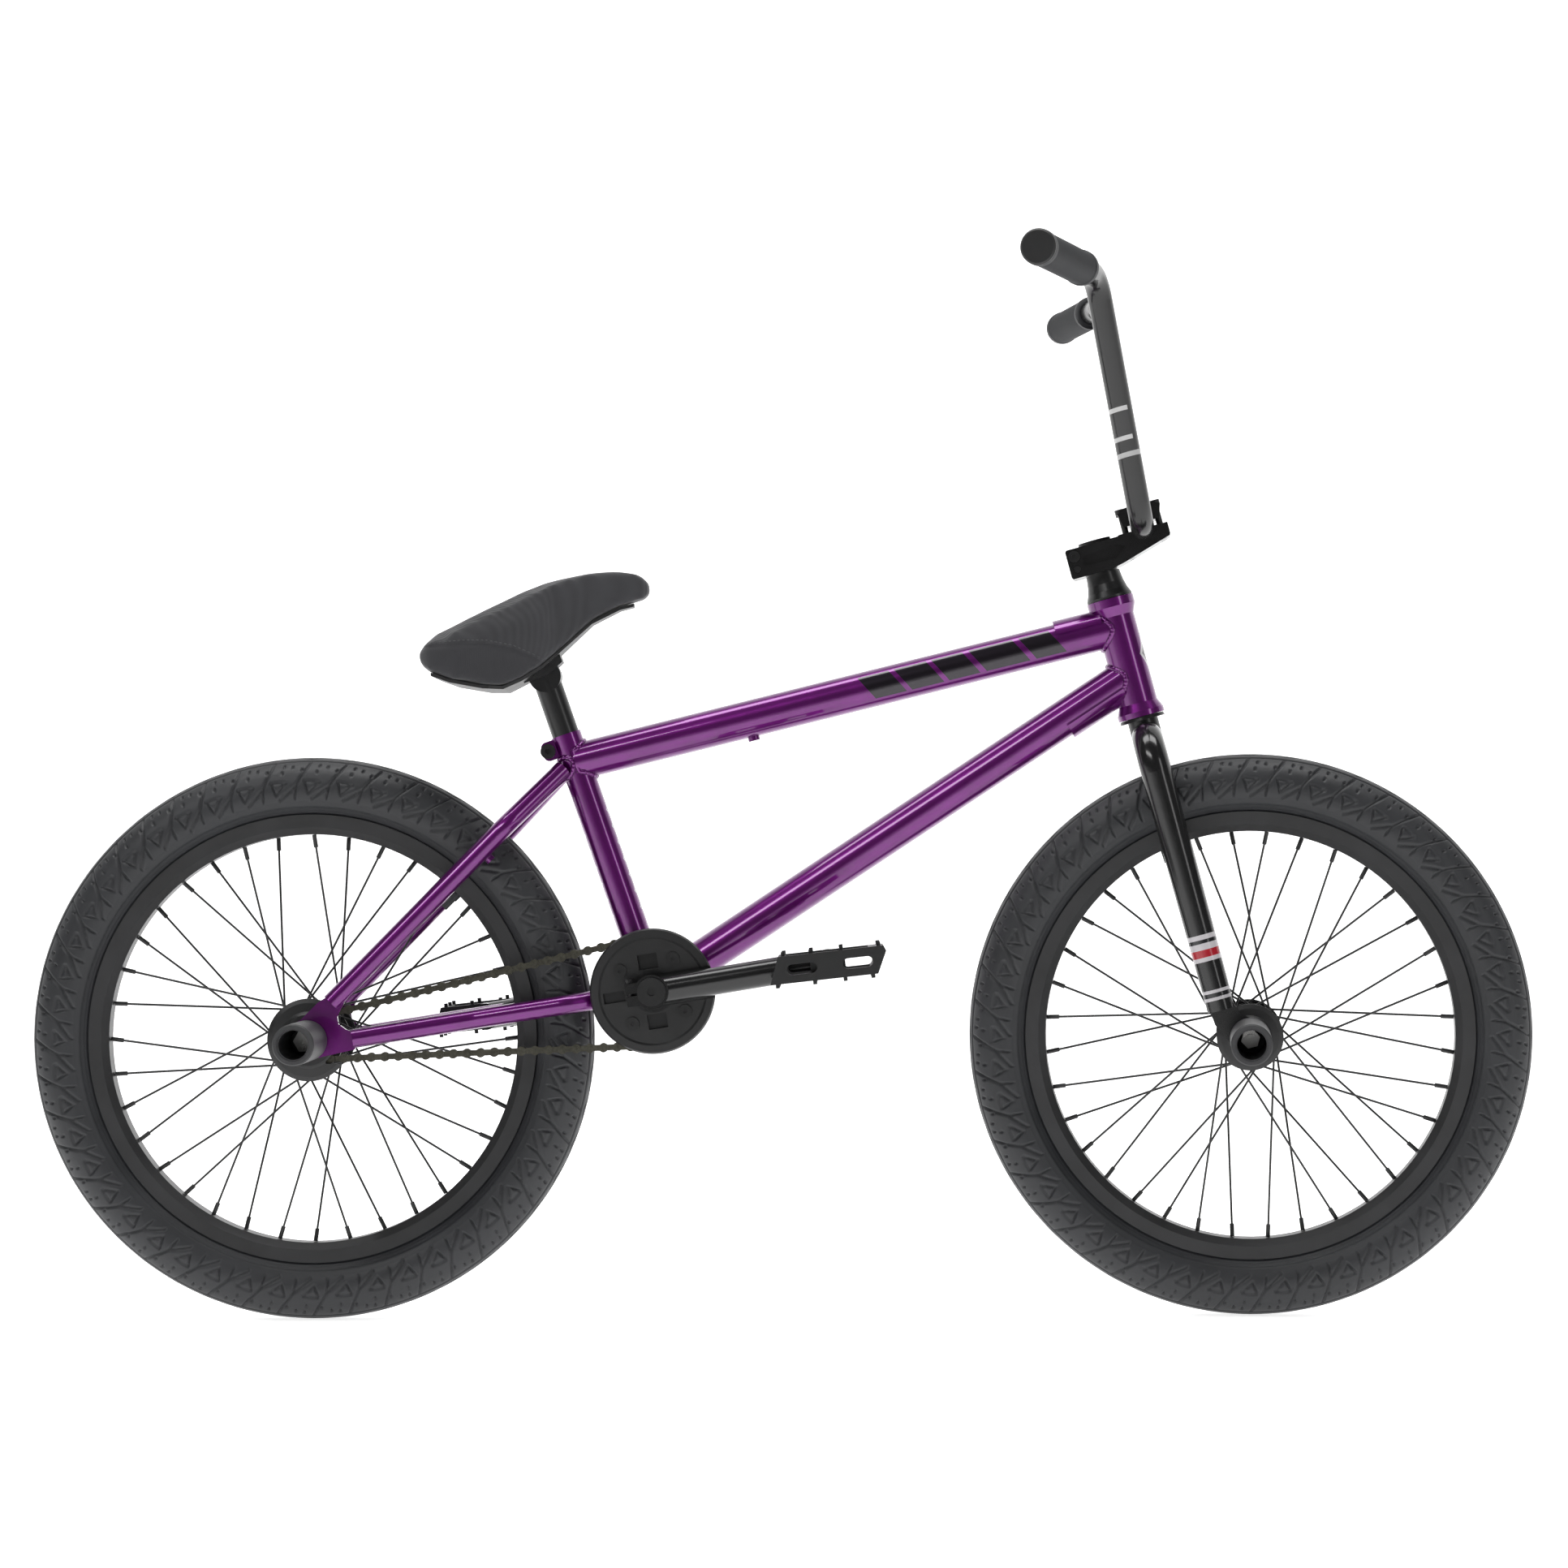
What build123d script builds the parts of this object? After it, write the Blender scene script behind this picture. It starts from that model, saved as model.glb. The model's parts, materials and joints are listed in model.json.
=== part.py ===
from build123d import *
import os
from math import acos, asin, atan2, cos, degrees, hypot, pi, radians, sin, sqrt, tan

# A 20 inch BMX bike. Millimetres. +X forwards, +Y to the rider's left, +Z up.
# The origin is on the ground, halfway between the axles, in the frame's mid-plane.
# The drive side (chain and sprocket) is on the rider's right, at -Y.

# ---------------------------------------------------------------- driving dimensions
wheelbase = 877.0
wheel_radius = 263.0
chainstay_length = 322.19
bracket_rise = 44.0
head_angle = 75.0
seat_angle = 71.0
fork_length = 314.2
fork_offset = 19.2
steer_rest_deg = -4.8  # the bars and front wheel stand turned a little to the right
crank_rest_deg = 9.2
pedal_rest_deg = 6.1

head_length = 114.0
head_radius = 18.5
head_flare_radius = 22.2
main_tube_radius = 17.45
seat_tube_radius = 14.3
seat_tube_length = 253.5
top_tube_on_seat = 226.2
top_tube_on_head = 86.4
down_tube_on_head = 40.9
tube_wall = 1.2
stay_radius = 9.1
stay_tip_radius = 8.75
shell_radius = 25.0
shell_bore = 20.6
shell_half = 34.0

post_radius = 12.7
post_insertion = 85.0
saddle_pivot_height = 311.0
saddle_pivot_radius = 15.0

steerer_radius = 14.3
steerer_top = 166.0
leg_spread = 52.0
leg_tip_radius = 12.7
crown_drop = 20.0

tyre_half_width = 30.5
rim_radius = 209.5
rim_inner_radius = 191.0
spoke_count = 36
spoke_radius = 1.0
spoke_crosses = 3

bar_radius = 11.1
bar_half_width = 355.0
grip_radius = 15.2
grip_length = 160.0
stem_reach = 47.0
stem_height = 170.0

rear_hub_half = 55.0
front_hub_half = 50.0
dropout_plate = 6.0
rear_axle_radius = 7.0
front_axle_radius = 4.76
peg_radius = 19.0
peg_bore = 13.35
peg_length = 107.0

chain_line = 42.0
chain_pitch = 12.7
roller_radius = 3.85
sprocket_teeth = 25
driver_teeth = 9
link_count = 68

crank_length = 165.0
crank_tube_radius = 12.7
crank_plane = 64.5
spindle_radius = 11.0
spindle_half = 78.0
guard_radius = 58.3
pedal_length = 97.4
pedal_height = 24.7
pedal_slant = 9.3
pedal_width = 104.0
pedal_inner = 79.5

running_fit = 0.05

# ---------------------------------------------------------------- reference points
rear_axle = Vector(-wheelbase / 2, 0, wheel_radius)
front_axle = Vector(wheelbase / 2, 0, wheel_radius)
bracket = rear_axle + Vector(sqrt(chainstay_length**2 - bracket_rise**2), 0, bracket_rise)
steer_up = Vector(-cos(radians(head_angle)), 0, sin(radians(head_angle)))
steer_forward = Vector(sin(radians(head_angle)), 0, cos(radians(head_angle)))
head_bottom = front_axle + steer_up * fork_length - steer_forward * fork_offset
seat_up = Vector(-cos(radians(seat_angle)), 0, sin(radians(seat_angle)))
seat_back = Vector(-sin(radians(seat_angle)), 0, -cos(radians(seat_angle)))
saddle_pivot = bracket + seat_up * saddle_pivot_height

head_frame = Plane(origin=head_bottom, x_dir=steer_forward, z_dir=steer_up).location
steer_frame = head_frame * Rot(0, 0, steer_rest_deg)
seat_frame = Plane(origin=bracket, x_dir=-seat_back, z_dir=seat_up).location
crank_frame = Pos(*bracket) * Rot(0, -crank_rest_deg, 0)
front_axle_local = Vector(fork_offset, 0, -fork_length)
across = Rot(90, 0, 0)  # turns a shape made about +Z to lie about -Y, the drive side
right = -1
left = 1


# ---------------------------------------------------------------- helpers
def group(*shapes):
    """One node made of several separate solids."""
    return Compound([solid for shape in shapes for solid in shape.solids()])


def cut(shape, *tools):
    """The shape less the tools, as one node."""
    result = shape
    for tool in tools:
        result = group(*[Part() + piece - tool for piece in result.solids()])
    return result


def rod(start, end, radius):
    axis = end - start
    return Solid.make_cylinder(radius, axis.length, Plane(origin=start, z_dir=axis))


def taper(start, end, radius, end_radius):
    axis = end - start
    return Solid.make_cone(radius, end_radius, axis.length, Plane(origin=start, z_dir=axis))


def lathe(*corners):
    """A solid turned about +Z from (radius, height) corners."""
    outline = Polyline(*[(radius, 0, height) for radius, height in corners], close=True)
    return revolve(make_face(outline), Axis.Z)


def turned(*corners):
    """A solid turned about the Y axis from (radius, y) corners; +height runs to the drive side."""
    return across * lathe(*corners)


def plate(corners, y_low, y_high):
    """A flat plate from (x, z) corners, between two distances across the bike."""
    outline = Polyline(*[(x, y_low, z) for x, z in corners], close=True)
    return extrude(make_face(outline), (y_high - y_low), dir=(0, 1, 0))


def bent_tube(points, bend, radius, bore=0.0):
    """A round tube along straight runs joined by arcs."""
    path = FilletPolyline(*points, radius=bend)
    section = Circle(radius) - Circle(bore) if bore else Circle(radius)
    return sweep(Plane(origin=path @ 0, z_dir=path % 0) * section, path=path)


def both_sides(make):
    return group(make(right), make(left))


def hexagon_bolt(radius, head_radius, length, head_height, socket):
    """A socket bolt about +Z: its head stands above the origin and its shank below."""
    head = Solid.make_cylinder(head_radius, head_height)
    shank = Pos(0, 0, -length) * Solid.make_cylinder(radius, length)
    key = Pos(0, 0, head_height * 0.4) * extrude(RegularPolygon(socket, 6), head_height)
    return group(Part() + head + shank - key)


# ---------------------------------------------------------------- frame tubes
def head_outline(bore, bottom=0.0):
    return [
        (bore, bottom),
        (head_flare_radius, bottom),
        (head_flare_radius, 5),
        (head_radius, 13),
        (head_radius, head_length - 17),
        (head_flare_radius, head_length - 8),
        (head_flare_radius, head_length),
        (bore, head_length),
    ]


bearing_radius = 19.0
bearing_height = 7.0
head_solid = head_frame * lathe(*head_outline(0))
head_pocket = lathe((0, 0), (bearing_radius, 0), (bearing_radius, bearing_height), (0, bearing_height))
head_tube = head_frame * cut(
    lathe(*head_outline(bearing_radius - 2.5)),
    head_pocket,
    Pos(0, 0, head_length - bearing_height) * head_pocket,
)

shell_solid = rod(bracket + Vector(0, -shell_half, 0), bracket + Vector(0, shell_half, 0), shell_radius)
shell_hole = rod(bracket + Vector(0, -60, 0), bracket + Vector(0, 60, 0), shell_bore)
bottom_bracket_shell = cut(shell_solid, shell_hole)

seat_top = bracket + seat_up * seat_tube_length
seat_solid = rod(bracket, seat_top, seat_tube_radius)
seat_bore = rod(bracket, seat_top + seat_up * 5, post_radius + running_fit)
slit_length = 30.0
clamp_slit = seat_frame * Pos(-seat_tube_radius, 0, seat_tube_length) * Box(16, 3, 2 * slit_length)
seat_tube = cut(seat_solid, seat_bore, shell_solid, clamp_slit)

top_start = bracket + seat_up * top_tube_on_seat
top_end = head_bottom + steer_up * top_tube_on_head
top_solid = rod(top_start, top_end, main_tube_radius)
top_bore = rod(top_start, top_end, main_tube_radius - tube_wall)
top_tube = cut(top_solid, top_bore, head_solid, seat_solid)

down_end = head_bottom + steer_up * down_tube_on_head
down_solid = rod(bracket, down_end, main_tube_radius)
down_bore = rod(bracket, down_end, main_tube_radius - tube_wall)
down_tube = cut(down_solid, down_bore, head_solid, shell_solid, seat_solid)

# Rear ends: the plate's outline is measured from the axle, and its slot opens to the rear.
dropout_outline = [
    (-15, -15),
    (4, -17.5),
    (44, -8.5),
    (47, -3),
    (46, 7),
    (36, 10),
    (29, 15),
    (28, 22),
    (35, 36),
    (26, 45),
    (10, 35),
    (-6, 19),
    (-15, 14),
]


def rear_dropout(side):
    low = rear_hub_half if side > 0 else -rear_hub_half - dropout_plate
    body = plate(dropout_outline, low, low + dropout_plate)
    body = fillet(body.edges().filter_by(Axis.Y).group_by(SortBy.LENGTH)[-1], 2.0)
    slot = plate([(-40, -7.1), (0, -7.1), (0, 7.1), (-40, 7.1)], low - 1, low + dropout_plate + 1)
    end = Pos(0, low - 1, 0) * Rot(-90, 0, 0) * Solid.make_cylinder(7.1, dropout_plate + 2)
    return Pos(*rear_axle) * (body - slot - end)


rear_dropouts = both_sides(rear_dropout)
dropout_middle = rear_hub_half + dropout_plate / 2


def chain_stay(side):
    """Runs beside the shell, swerves out round the tyre and tapers to the rear end."""
    lean = (bracket.Z - rear_axle.Z - 1.0) / (bracket.X - rear_axle.X - 40.0)

    def at(ahead, out):
        height = rear_axle.Z + 1.0 + lean * (ahead - 40.0)
        return Vector(rear_axle.X + ahead, side * out, height)

    swerve_start = at(284, 23.2)
    swerve_end = at(238, 41.4)
    elbow = at(152, 41.4)
    rear_end = at(41, dropout_middle)
    knee = elbow + (rear_end - elbow) * 0.2
    path = [at(bracket.X - rear_axle.X, 23.2), swerve_start, swerve_end, elbow, knee]
    front = bent_tube(path, 30, stay_radius, stay_radius - tube_wall)
    rear = taper(knee, rear_end, stay_radius, stay_tip_radius)
    hollow = taper(knee, rear_end, stay_radius - tube_wall, stay_tip_radius - tube_wall)
    return cut(group(Part() + front + (rear - hollow)), shell_solid, rear_dropouts)


chain_stays = both_sides(chain_stay)


# The stays stop short of the seat tube's middle, beside the end of the top tube.
stay_trim = seat_frame * Pos(57, 0, top_tube_on_seat) * Box(120, 120, 160)


def seat_stay(side):
    """Leaves the seat tube, bows out round the tyre and runs straight down to the rear end."""
    foot = rear_axle + Vector(22.0, side * dropout_middle, 34.4)
    rise = Vector(0.7014, 0, 0.7128)
    reach = 302.7
    shoulder = foot + rise * 230.7 + Vector(0, side * (43.5 - dropout_middle), 0)
    top = foot + rise * reach + Vector(0, side * (10.2 - dropout_middle), 0)
    knee = foot + (shoulder - foot) * 0.6
    upper = bent_tube([top, shoulder, knee], 46, stay_radius, stay_radius - tube_wall)
    lower = taper(foot, knee, stay_tip_radius, stay_radius)
    hollow = taper(foot, knee, stay_tip_radius - tube_wall, stay_radius - tube_wall)
    return cut(group(Part() + upper + (lower - hollow)), seat_solid, stay_trim, rear_dropouts)


left_seat_stay = seat_stay(left)
seat_stays = group(left_seat_stay, mirror(left_seat_stay, Plane.XZ))


def head_gusset(tube_end, tube_start, side_of_tube, length):
    """A saddle plate that follows the main tube for some way behind the head tube."""
    axis = (tube_start - tube_end).normalized()
    begin = tube_end + axis * (head_radius - 4)
    skin = rod(begin, begin + axis * length, main_tube_radius + 3.2)
    core = rod(begin - axis, begin + axis * (length + 1), main_tube_radius)
    middle = begin + axis * length / 2
    away = Vector(0, 1, 0).cross(axis) * side_of_tube
    keep_plane = Plane(origin=middle + away * main_tube_radius * 0.42, x_dir=axis, z_dir=away)
    keep = keep_plane.location * Pos(0, 0, 20) * Box(2 * length, 80, 40)
    return Part() + (skin - core) & keep


top_gusset = cut(group(head_gusset(top_end, top_start, 1, 44)), head_solid)
down_gusset = cut(group(head_gusset(down_end, bracket, -1, 62)), head_solid, top_solid)
head_gussets = group(top_gusset, down_gusset)


# Small brazed-on parts: clamp ears, stay bridges, cable tab and brake bosses.
ear_along = 243.5
ear_back = 20.4


def clamp_ear(side):
    low = 1.6 if side > 0 else -7.6
    ear_root = -seat_tube_radius + 3
    ear = plate([(-26, -9), (ear_root, -9), (ear_root, 9), (-26, 9)], low, low + 6)
    ear = fillet(ear.edges().filter_by(Axis.Y).group_by(Axis.X)[0], 5.5)
    hole = Pos(-ear_back, 0, 0) * across * Cylinder(3.1, 40)
    return seat_frame * Pos(0, 0, ear_along) * (ear - hole)


stay_foot = rear_axle + Vector(15.5, 0, 27.8)
bridge_middle = stay_foot + Vector(0.7014, 0, 0.7128) * 268
seat_bridge = rod(bridge_middle - Vector(0, 30, 0), bridge_middle + Vector(0, 30, 0), 6)
chain_bridge_middle = rear_axle + Vector(280, 0, 39.5)
chain_bridge = rod(chain_bridge_middle - Vector(0, 20, 0), chain_bridge_middle + Vector(0, 20, 0), 7)
top_axis = (top_end - top_start).normalized()
tab_middle = top_start + top_axis * 168
tab_down = Vector(top_axis.Z, 0, -top_axis.X)
cable_tab = rod(
    tab_middle + tab_down * (main_tube_radius - 1), tab_middle + tab_down * (main_tube_radius + 3.5), 5.5
)


def brake_boss(side):
    place = stay_foot + Vector(0.7014, 0, 0.7128) * 206 + Vector(0, side * 36, 0)
    inward = Vector(0.7128, 0, -0.7014)
    return rod(place + inward * 4, place + inward * 13, 4.5)


frame_fittings = cut(
    group(
        cut(both_sides(clamp_ear), seat_solid),
        cut(seat_bridge, seat_solid),
        cut(chain_bridge, shell_solid),
        cut(cable_tab, top_solid),
        both_sides(brake_boss),
    ),
    seat_stays,
    chain_stays,
)
ear_place = seat_frame * Pos(-ear_back, -7.9, ear_along) * across
ear_nut = seat_frame * Pos(-ear_back, 7.9, ear_along) * Rot(-90, 0, 0) * Solid.make_cylinder(5.5, 4)
clamp_bolt = group(Part() + hexagon_bolt(3.0, 6.9, 15.7, 5.5, 3.0))
seat_clamp_bolt = group(ear_place * clamp_bolt, ear_nut)

headset_bearings = head_frame * group(
    Pos(0, 0, 0.3) * lathe((14.35, 0), (18.95, 0), (18.95, 6.5), (14.35, 6.5)),
    Pos(0, 0, head_length - 6.8) * lathe((14.35, 0), (18.95, 0), (18.95, 6.5), (14.35, 6.5)),
)


def bracket_bearing(side):
    ring = lathe((11.05, 21), (20.55, 21), (20.55, 33.7), (11.05, 33.7))
    return Pos(*bracket) * Rot(90 if side < 0 else -90, 0, 0) * ring


bracket_bearings = both_sides(bracket_bearing)

# ---------------------------------------------------------------- axles, pegs and hub guards
rear_peg_start = rear_hub_half + dropout_plate + 1.0
front_peg_start = front_hub_half + dropout_plate + 1.0


def axle(radius, peg_start, nut_radius):
    """The axle with a nut on each end, out in the bore of the peg."""
    half = peg_start + 6.0 + 14.0
    bar = across * Cylinder(radius, 2 * half)
    nuts = []
    for turn in (90, -90):
        nut = extrude(RegularPolygon(nut_radius, 6), 11) - Cylinder(radius, 60)
        nuts.append(Rot(turn, 0, 0) * Pos(0, 0, peg_start + 6.2) * nut)
    return group(bar, *nuts)


def peg(radius, peg_start):
    """A peg with a stepped end wall round the axle and an open outer end."""
    hole = radius + 0.1
    far = peg_length
    outline = [
        (hole, 0),
        (peg_radius - 2, 0),
        (peg_radius, 2),
        (peg_radius, far - 1.2),
        (peg_radius - 1.2, far),
        (peg_bore + 1.5, far),
        (peg_bore + 1.5, far - 1.5),
        (peg_bore, far - 1.5),
        (peg_bore, 6),
        (hole, 6),
    ]
    ring = Pos(0, 0, peg_start) * lathe(*outline)
    return group(Rot(90, 0, 0) * ring, Rot(-90, 0, 0) * ring)


def hub_guard(radius, hole, inner, outer, step):
    """A domed cap beside a hub flange, from its open rim inwards to its face at the dropout."""
    outline = [
        (hole, outer),
        (step - 1.5, outer),
        (step, outer - 1.5),
        (step + 1.5, outer - 2.6),
        (radius - 4, outer - 3.6),
        (radius, outer - 5.6),
        (radius, inner),
        (radius - 2.2, inner),
        (radius - 2.6, outer - 6.4),
        (step, outer - 5.2),
        (hole, outer - 4.0),
    ]
    return turned(*outline)


rear_axle_set = Pos(*rear_axle) * axle(rear_axle_radius, rear_peg_start, 10.9)
rear_pegs = Pos(*rear_axle) * peg(rear_axle_radius, rear_peg_start)
drive_guard_radius = 38.4
plain_guard_radius = 34.0
chain_mouth = Pos(34, -47, 4) * Box(36, 12, 52)
drive_guard = hub_guard(drive_guard_radius, rear_axle_radius + 0.1, 47.3, rear_hub_half - 0.2, 25)
plain_guard = Rot(0, 0, 180) * hub_guard(
    plain_guard_radius, rear_axle_radius + 0.1, 47.3, rear_hub_half - 0.2, 22
)
rear_hub_guards = Pos(*rear_axle) * group(cut(group(drive_guard), chain_mouth), plain_guard)

front_axle_set = Pos(*front_axle_local) * axle(front_axle_radius, front_peg_start, 9.0)
front_pegs = Pos(*front_axle_local) * peg(front_axle_radius, front_peg_start)
front_guard = hub_guard(30.9, front_axle_radius + 0.1, 42.0, front_hub_half - 0.2, 19)
front_hub_guards = Pos(*front_axle_local) * group(front_guard, Rot(0, 0, 180) * front_guard)


# ---------------------------------------------------------------- wheels
def tyre():
    """A tyre casing with a round tread and two beads."""
    tread_half = 24.5
    outer = (
        ThreePointArc((16.0, 0, 209.9), (tyre_half_width, 0, 231.5), (tread_half, 0, 251.0))
        + ThreePointArc((tread_half, 0, 251.0), (0, 0, wheel_radius), (-tread_half, 0, 251.0))
        + ThreePointArc((-tread_half, 0, 251.0), (-tyre_half_width, 0, 231.5), (-16.0, 0, 209.9))
    )
    inner = (
        Polyline((-16.0, 0, 209.9), (-16.0, 0, 203.6), (-11.5, 0, 203.6), (-11.5, 0, 210.5))
        + ThreePointArc((-11.5, 0, 210.5), (-26.8, 0, 231.5), (-21.5, 0, 248.5))
        + ThreePointArc((-21.5, 0, 248.5), (0, 0, wheel_radius - 4), (21.5, 0, 248.5))
        + ThreePointArc((21.5, 0, 248.5), (26.8, 0, 231.5), (11.5, 0, 210.5))
        + Polyline((11.5, 0, 210.5), (11.5, 0, 203.6), (16.0, 0, 203.6), (16.0, 0, 209.9))
    )
    return Rot(0, 0, 90) * revolve(make_face(outer + inner), Axis.X)


rear_valve = Rot(0, 45, 0)
front_valve = Rot(0, -5, 0)


def rim(valve_turn):
    """A double-walled rim with two flanges and a hole for the valve."""
    outline = Polyline(
        (-11.5, 0, rim_inner_radius),
        (11.5, 0, rim_inner_radius),
        (17.5, 0, 197.5),
        (18.2, 0, rim_radius),
        (16.3, 0, rim_radius),
        (16.3, 0, 203.2),
        (10.5, 0, 203.2),
        (7.5, 0, 200.5),
        (-7.5, 0, 200.5),
        (-10.5, 0, 203.2),
        (-16.3, 0, 203.2),
        (-16.3, 0, rim_radius),
        (-18.2, 0, rim_radius),
        (-17.5, 0, 197.5),
        close=True,
    )
    chamber = Polyline(
        (-9.5, 0, 193.2),
        (9.5, 0, 193.2),
        (12.5, 0, 197.2),
        (7.5, 0, 198.6),
        (-7.5, 0, 198.6),
        (-12.5, 0, 197.2),
        close=True,
    )
    ring = revolve(make_face(outline) - make_face(chamber), Axis.X)
    hole = Solid.make_cylinder(4.2, 240)
    return cut(group(Rot(0, 0, 90) * ring), valve_turn * hole)


def inner_tube(valve_turn):
    """The air tube and its valve stem."""
    wall = Pos(232, 0, 0) * (Circle(20.4) - Circle(19.2))
    ring = revolve(wall, Axis.Y)
    stem = Pos(0, 0, 172) * Solid.make_cylinder(3.0, 40) + Pos(0, 0, 184) * Solid.make_cylinder(3.9, 28.2)
    return Part() + ring + valve_turn * stem


def spoke_holes(flange_right, flange_left, hole_radius):
    """Each flange hole as (side, distance out, angle, lean): lean is 1 or -1 by turns."""
    per_side = spoke_count // 2
    hole_step = 2 * pi / per_side
    holes = []
    for side, flange, offset in ((right, flange_right, 0.0), (left, flange_left, hole_step / 2)):
        for index in range(per_side):
            holes.append((side, flange, index * hole_step + offset, 1 if index % 2 else -1))
    return holes


def spokes(flange_right, flange_left, hole_radius):
    """Three-cross spokes with their nipples; neighbours lie on opposite faces of each flange."""
    pieces = []
    swing = spoke_crosses * 4 * pi / spoke_count
    for side, flange, angle, lean in spoke_holes(flange_right, flange_left, hole_radius):
        face = flange + (3.7 if lean > 0 else -2.8)
        far_face = flange - lean * 2.3
        rim_angle = angle + lean * swing
        hub_x = hole_radius * cos(angle)
        hub_z = hole_radius * sin(angle)
        start = Vector(hub_x, side * face, hub_z)
        end = Vector(190.4 * cos(rim_angle), side * (1.5 + 0.5 * lean), 190.4 * sin(rim_angle))
        run = (end - start).normalized()
        elbow = rod(Vector(hub_x, side * far_face, hub_z), start, spoke_radius)
        pieces.append(Part() + rod(start, end - run * 9, spoke_radius) + elbow)
        pieces.append(rod(end - run * 11.6, end + run * 0.2, 2.0) - rod(start, end - run * 9, spoke_radius))
    return group(*pieces)


def hub(flange_right, flange_left, right_end, left_end, barrel, flange_radius, bearing, hole_radius):
    """A hub shell: two spoke flanges on a barrel that widens to hold the bearings."""
    outline = [
        (bearing, -left_end),
        (bearing + 3, -left_end),
        (bearing + 3.5, -flange_left - 4),
        (barrel + 3, -flange_left - 1.6),
        (flange_radius, -flange_left - 1.5),
        (flange_radius, -flange_left + 1.5),
        (barrel + 2, -flange_left + 2),
        (barrel, -flange_left + 8),
        (barrel, flange_right - 8),
        (barrel + 2, flange_right - 2),
        (flange_radius, flange_right - 1.5),
        (flange_radius, flange_right + 1.5),
        (barrel + 3, flange_right + 1.6),
        (bearing + 3.5, flange_right + 4),
        (bearing + 3, right_end),
        (bearing, right_end),
        (bearing, right_end - 9),
        (bearing - 3, right_end - 9),
        (bearing - 3, -left_end + 9),
        (bearing, -left_end + 9),
    ]
    holes = []
    for side, flange, angle, _ in spoke_holes(flange_right, flange_left, hole_radius):
        middle = Vector(hole_radius * cos(angle), side * flange, hole_radius * sin(angle))
        holes.append(rod(middle - Vector(0, 3, 0), middle + Vector(0, 3, 0), spoke_radius + 0.15))
    return turned(*outline) - holes


def hub_bearings(right_end, left_end, bearing, axle_radius):
    bore = axle_radius + running_fit
    near = [(bore, right_end - 8.7), (bearing - 0.05, right_end - 8.7), (bearing - 0.05, right_end - 0.7)]
    far = [(bore, -left_end + 0.7), (bearing - 0.05, -left_end + 0.7), (bearing - 0.05, -left_end + 8.7)]
    return group(
        turned(*near, (bore, right_end - 0.7)),
        turned(*far, (bore, -left_end + 8.7)),
    )


rear_flanges = (21.0, 29.0)
rear_hub_ends = (32.5, 46.5)
front_flanges = (31.0, 31.0)
front_hub_ends = (41.0, 41.0)
rear_hole_radius = 26.8
front_hole_radius = 24.8
rear_hub_shell = hub(*rear_flanges, *rear_hub_ends, 19.0, 30.0, 16.0, rear_hole_radius)
front_hub_shell = hub(*front_flanges, *front_hub_ends, 14.0, 28.0, 13.0, front_hole_radius)


# ---------------------------------------------------------------- chain, sprocket and driver
def pitch_radius(teeth):
    return chain_pitch / (2 * sin(pi / teeth))


sprocket_pitch = pitch_radius(sprocket_teeth)
driver_pitch = pitch_radius(driver_teeth)
span = bracket - rear_axle
centre_distance = hypot(span.X, span.Z)
span_angle = atan2(span.Z, span.X)
wrap_angle = asin((sprocket_pitch - driver_pitch) / centre_distance)
run_length = centre_distance * cos(wrap_angle)
driver_arc = driver_pitch * (pi - 2 * wrap_angle)
sprocket_arc = sprocket_pitch * (pi + 2 * wrap_angle)
path_length = driver_arc + sprocket_arc + 2 * run_length


def chain_point(travel):
    """A point (x, z) on the pitch line: top run forwards, over the sprocket, back along the bottom."""
    travel = travel % path_length
    top = span_angle + wrap_angle + pi / 2
    bottom = span_angle - wrap_angle - pi / 2
    if travel < run_length:
        start_x = rear_axle.X + driver_pitch * cos(top)
        start_z = rear_axle.Z + driver_pitch * sin(top)
        heading = span_angle + wrap_angle
        return start_x + travel * cos(heading), start_z + travel * sin(heading)
    travel -= run_length
    if travel < sprocket_arc:
        angle = top - travel / sprocket_pitch
        return bracket.X + sprocket_pitch * cos(angle), bracket.Z + sprocket_pitch * sin(angle)
    travel -= sprocket_arc
    if travel < run_length:
        start_x = bracket.X + sprocket_pitch * cos(bottom)
        start_z = bracket.Z + sprocket_pitch * sin(bottom)
        heading = span_angle - wrap_angle + pi
        return start_x + travel * cos(heading), start_z + travel * sin(heading)
    travel -= run_length
    angle = bottom - travel / driver_pitch
    return rear_axle.X + driver_pitch * cos(angle), rear_axle.Z + driver_pitch * sin(angle)


def chain_pins():
    """Pins one pitch apart in a straight line, all round the loop."""
    travel = 4.0
    pins = [chain_point(travel)]
    for _ in range(link_count - 1):
        here = pins[-1]
        low = travel + chain_pitch * 0.9
        high = travel + chain_pitch * 1.1
        for _ in range(40):
            middle = (low + high) / 2
            there = chain_point(middle)
            if hypot(there[0] - here[0], there[1] - here[1]) < chain_pitch:
                low = middle
            else:
                high = middle
        travel = middle
        pins.append(chain_point(travel))
    return pins


pins = chain_pins()
closing_gap = hypot(pins[0][0] - pins[-1][0], pins[0][1] - pins[-1][1])
print("chain closes with a last pitch of", round(closing_gap, 3))


def link_plate(low, high, radius):
    outline = Circle(radius) + Pos(chain_pitch, 0) * Circle(radius)
    outline = outline + Pos(chain_pitch / 2, 0) * Rectangle(chain_pitch, radius * 1.25)
    return Pos(0, 0, low) * extrude(outline, high - low)


def outer_link():
    pieces = [link_plate(2.95, 4.05, 4.3), link_plate(-4.05, -2.95, 4.3)]
    pieces += [Pos(x, 0, 0) * Cylinder(1.75, 9.0) for x in (0, chain_pitch)]
    holes = [Pos(x, 0, 0) * Cylinder(1.75, 20) for x in (0, chain_pitch)]
    plates = [piece - holes[0] - holes[1] for piece in pieces[:2]]
    return group(*plates, *pieces[2:])


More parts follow.
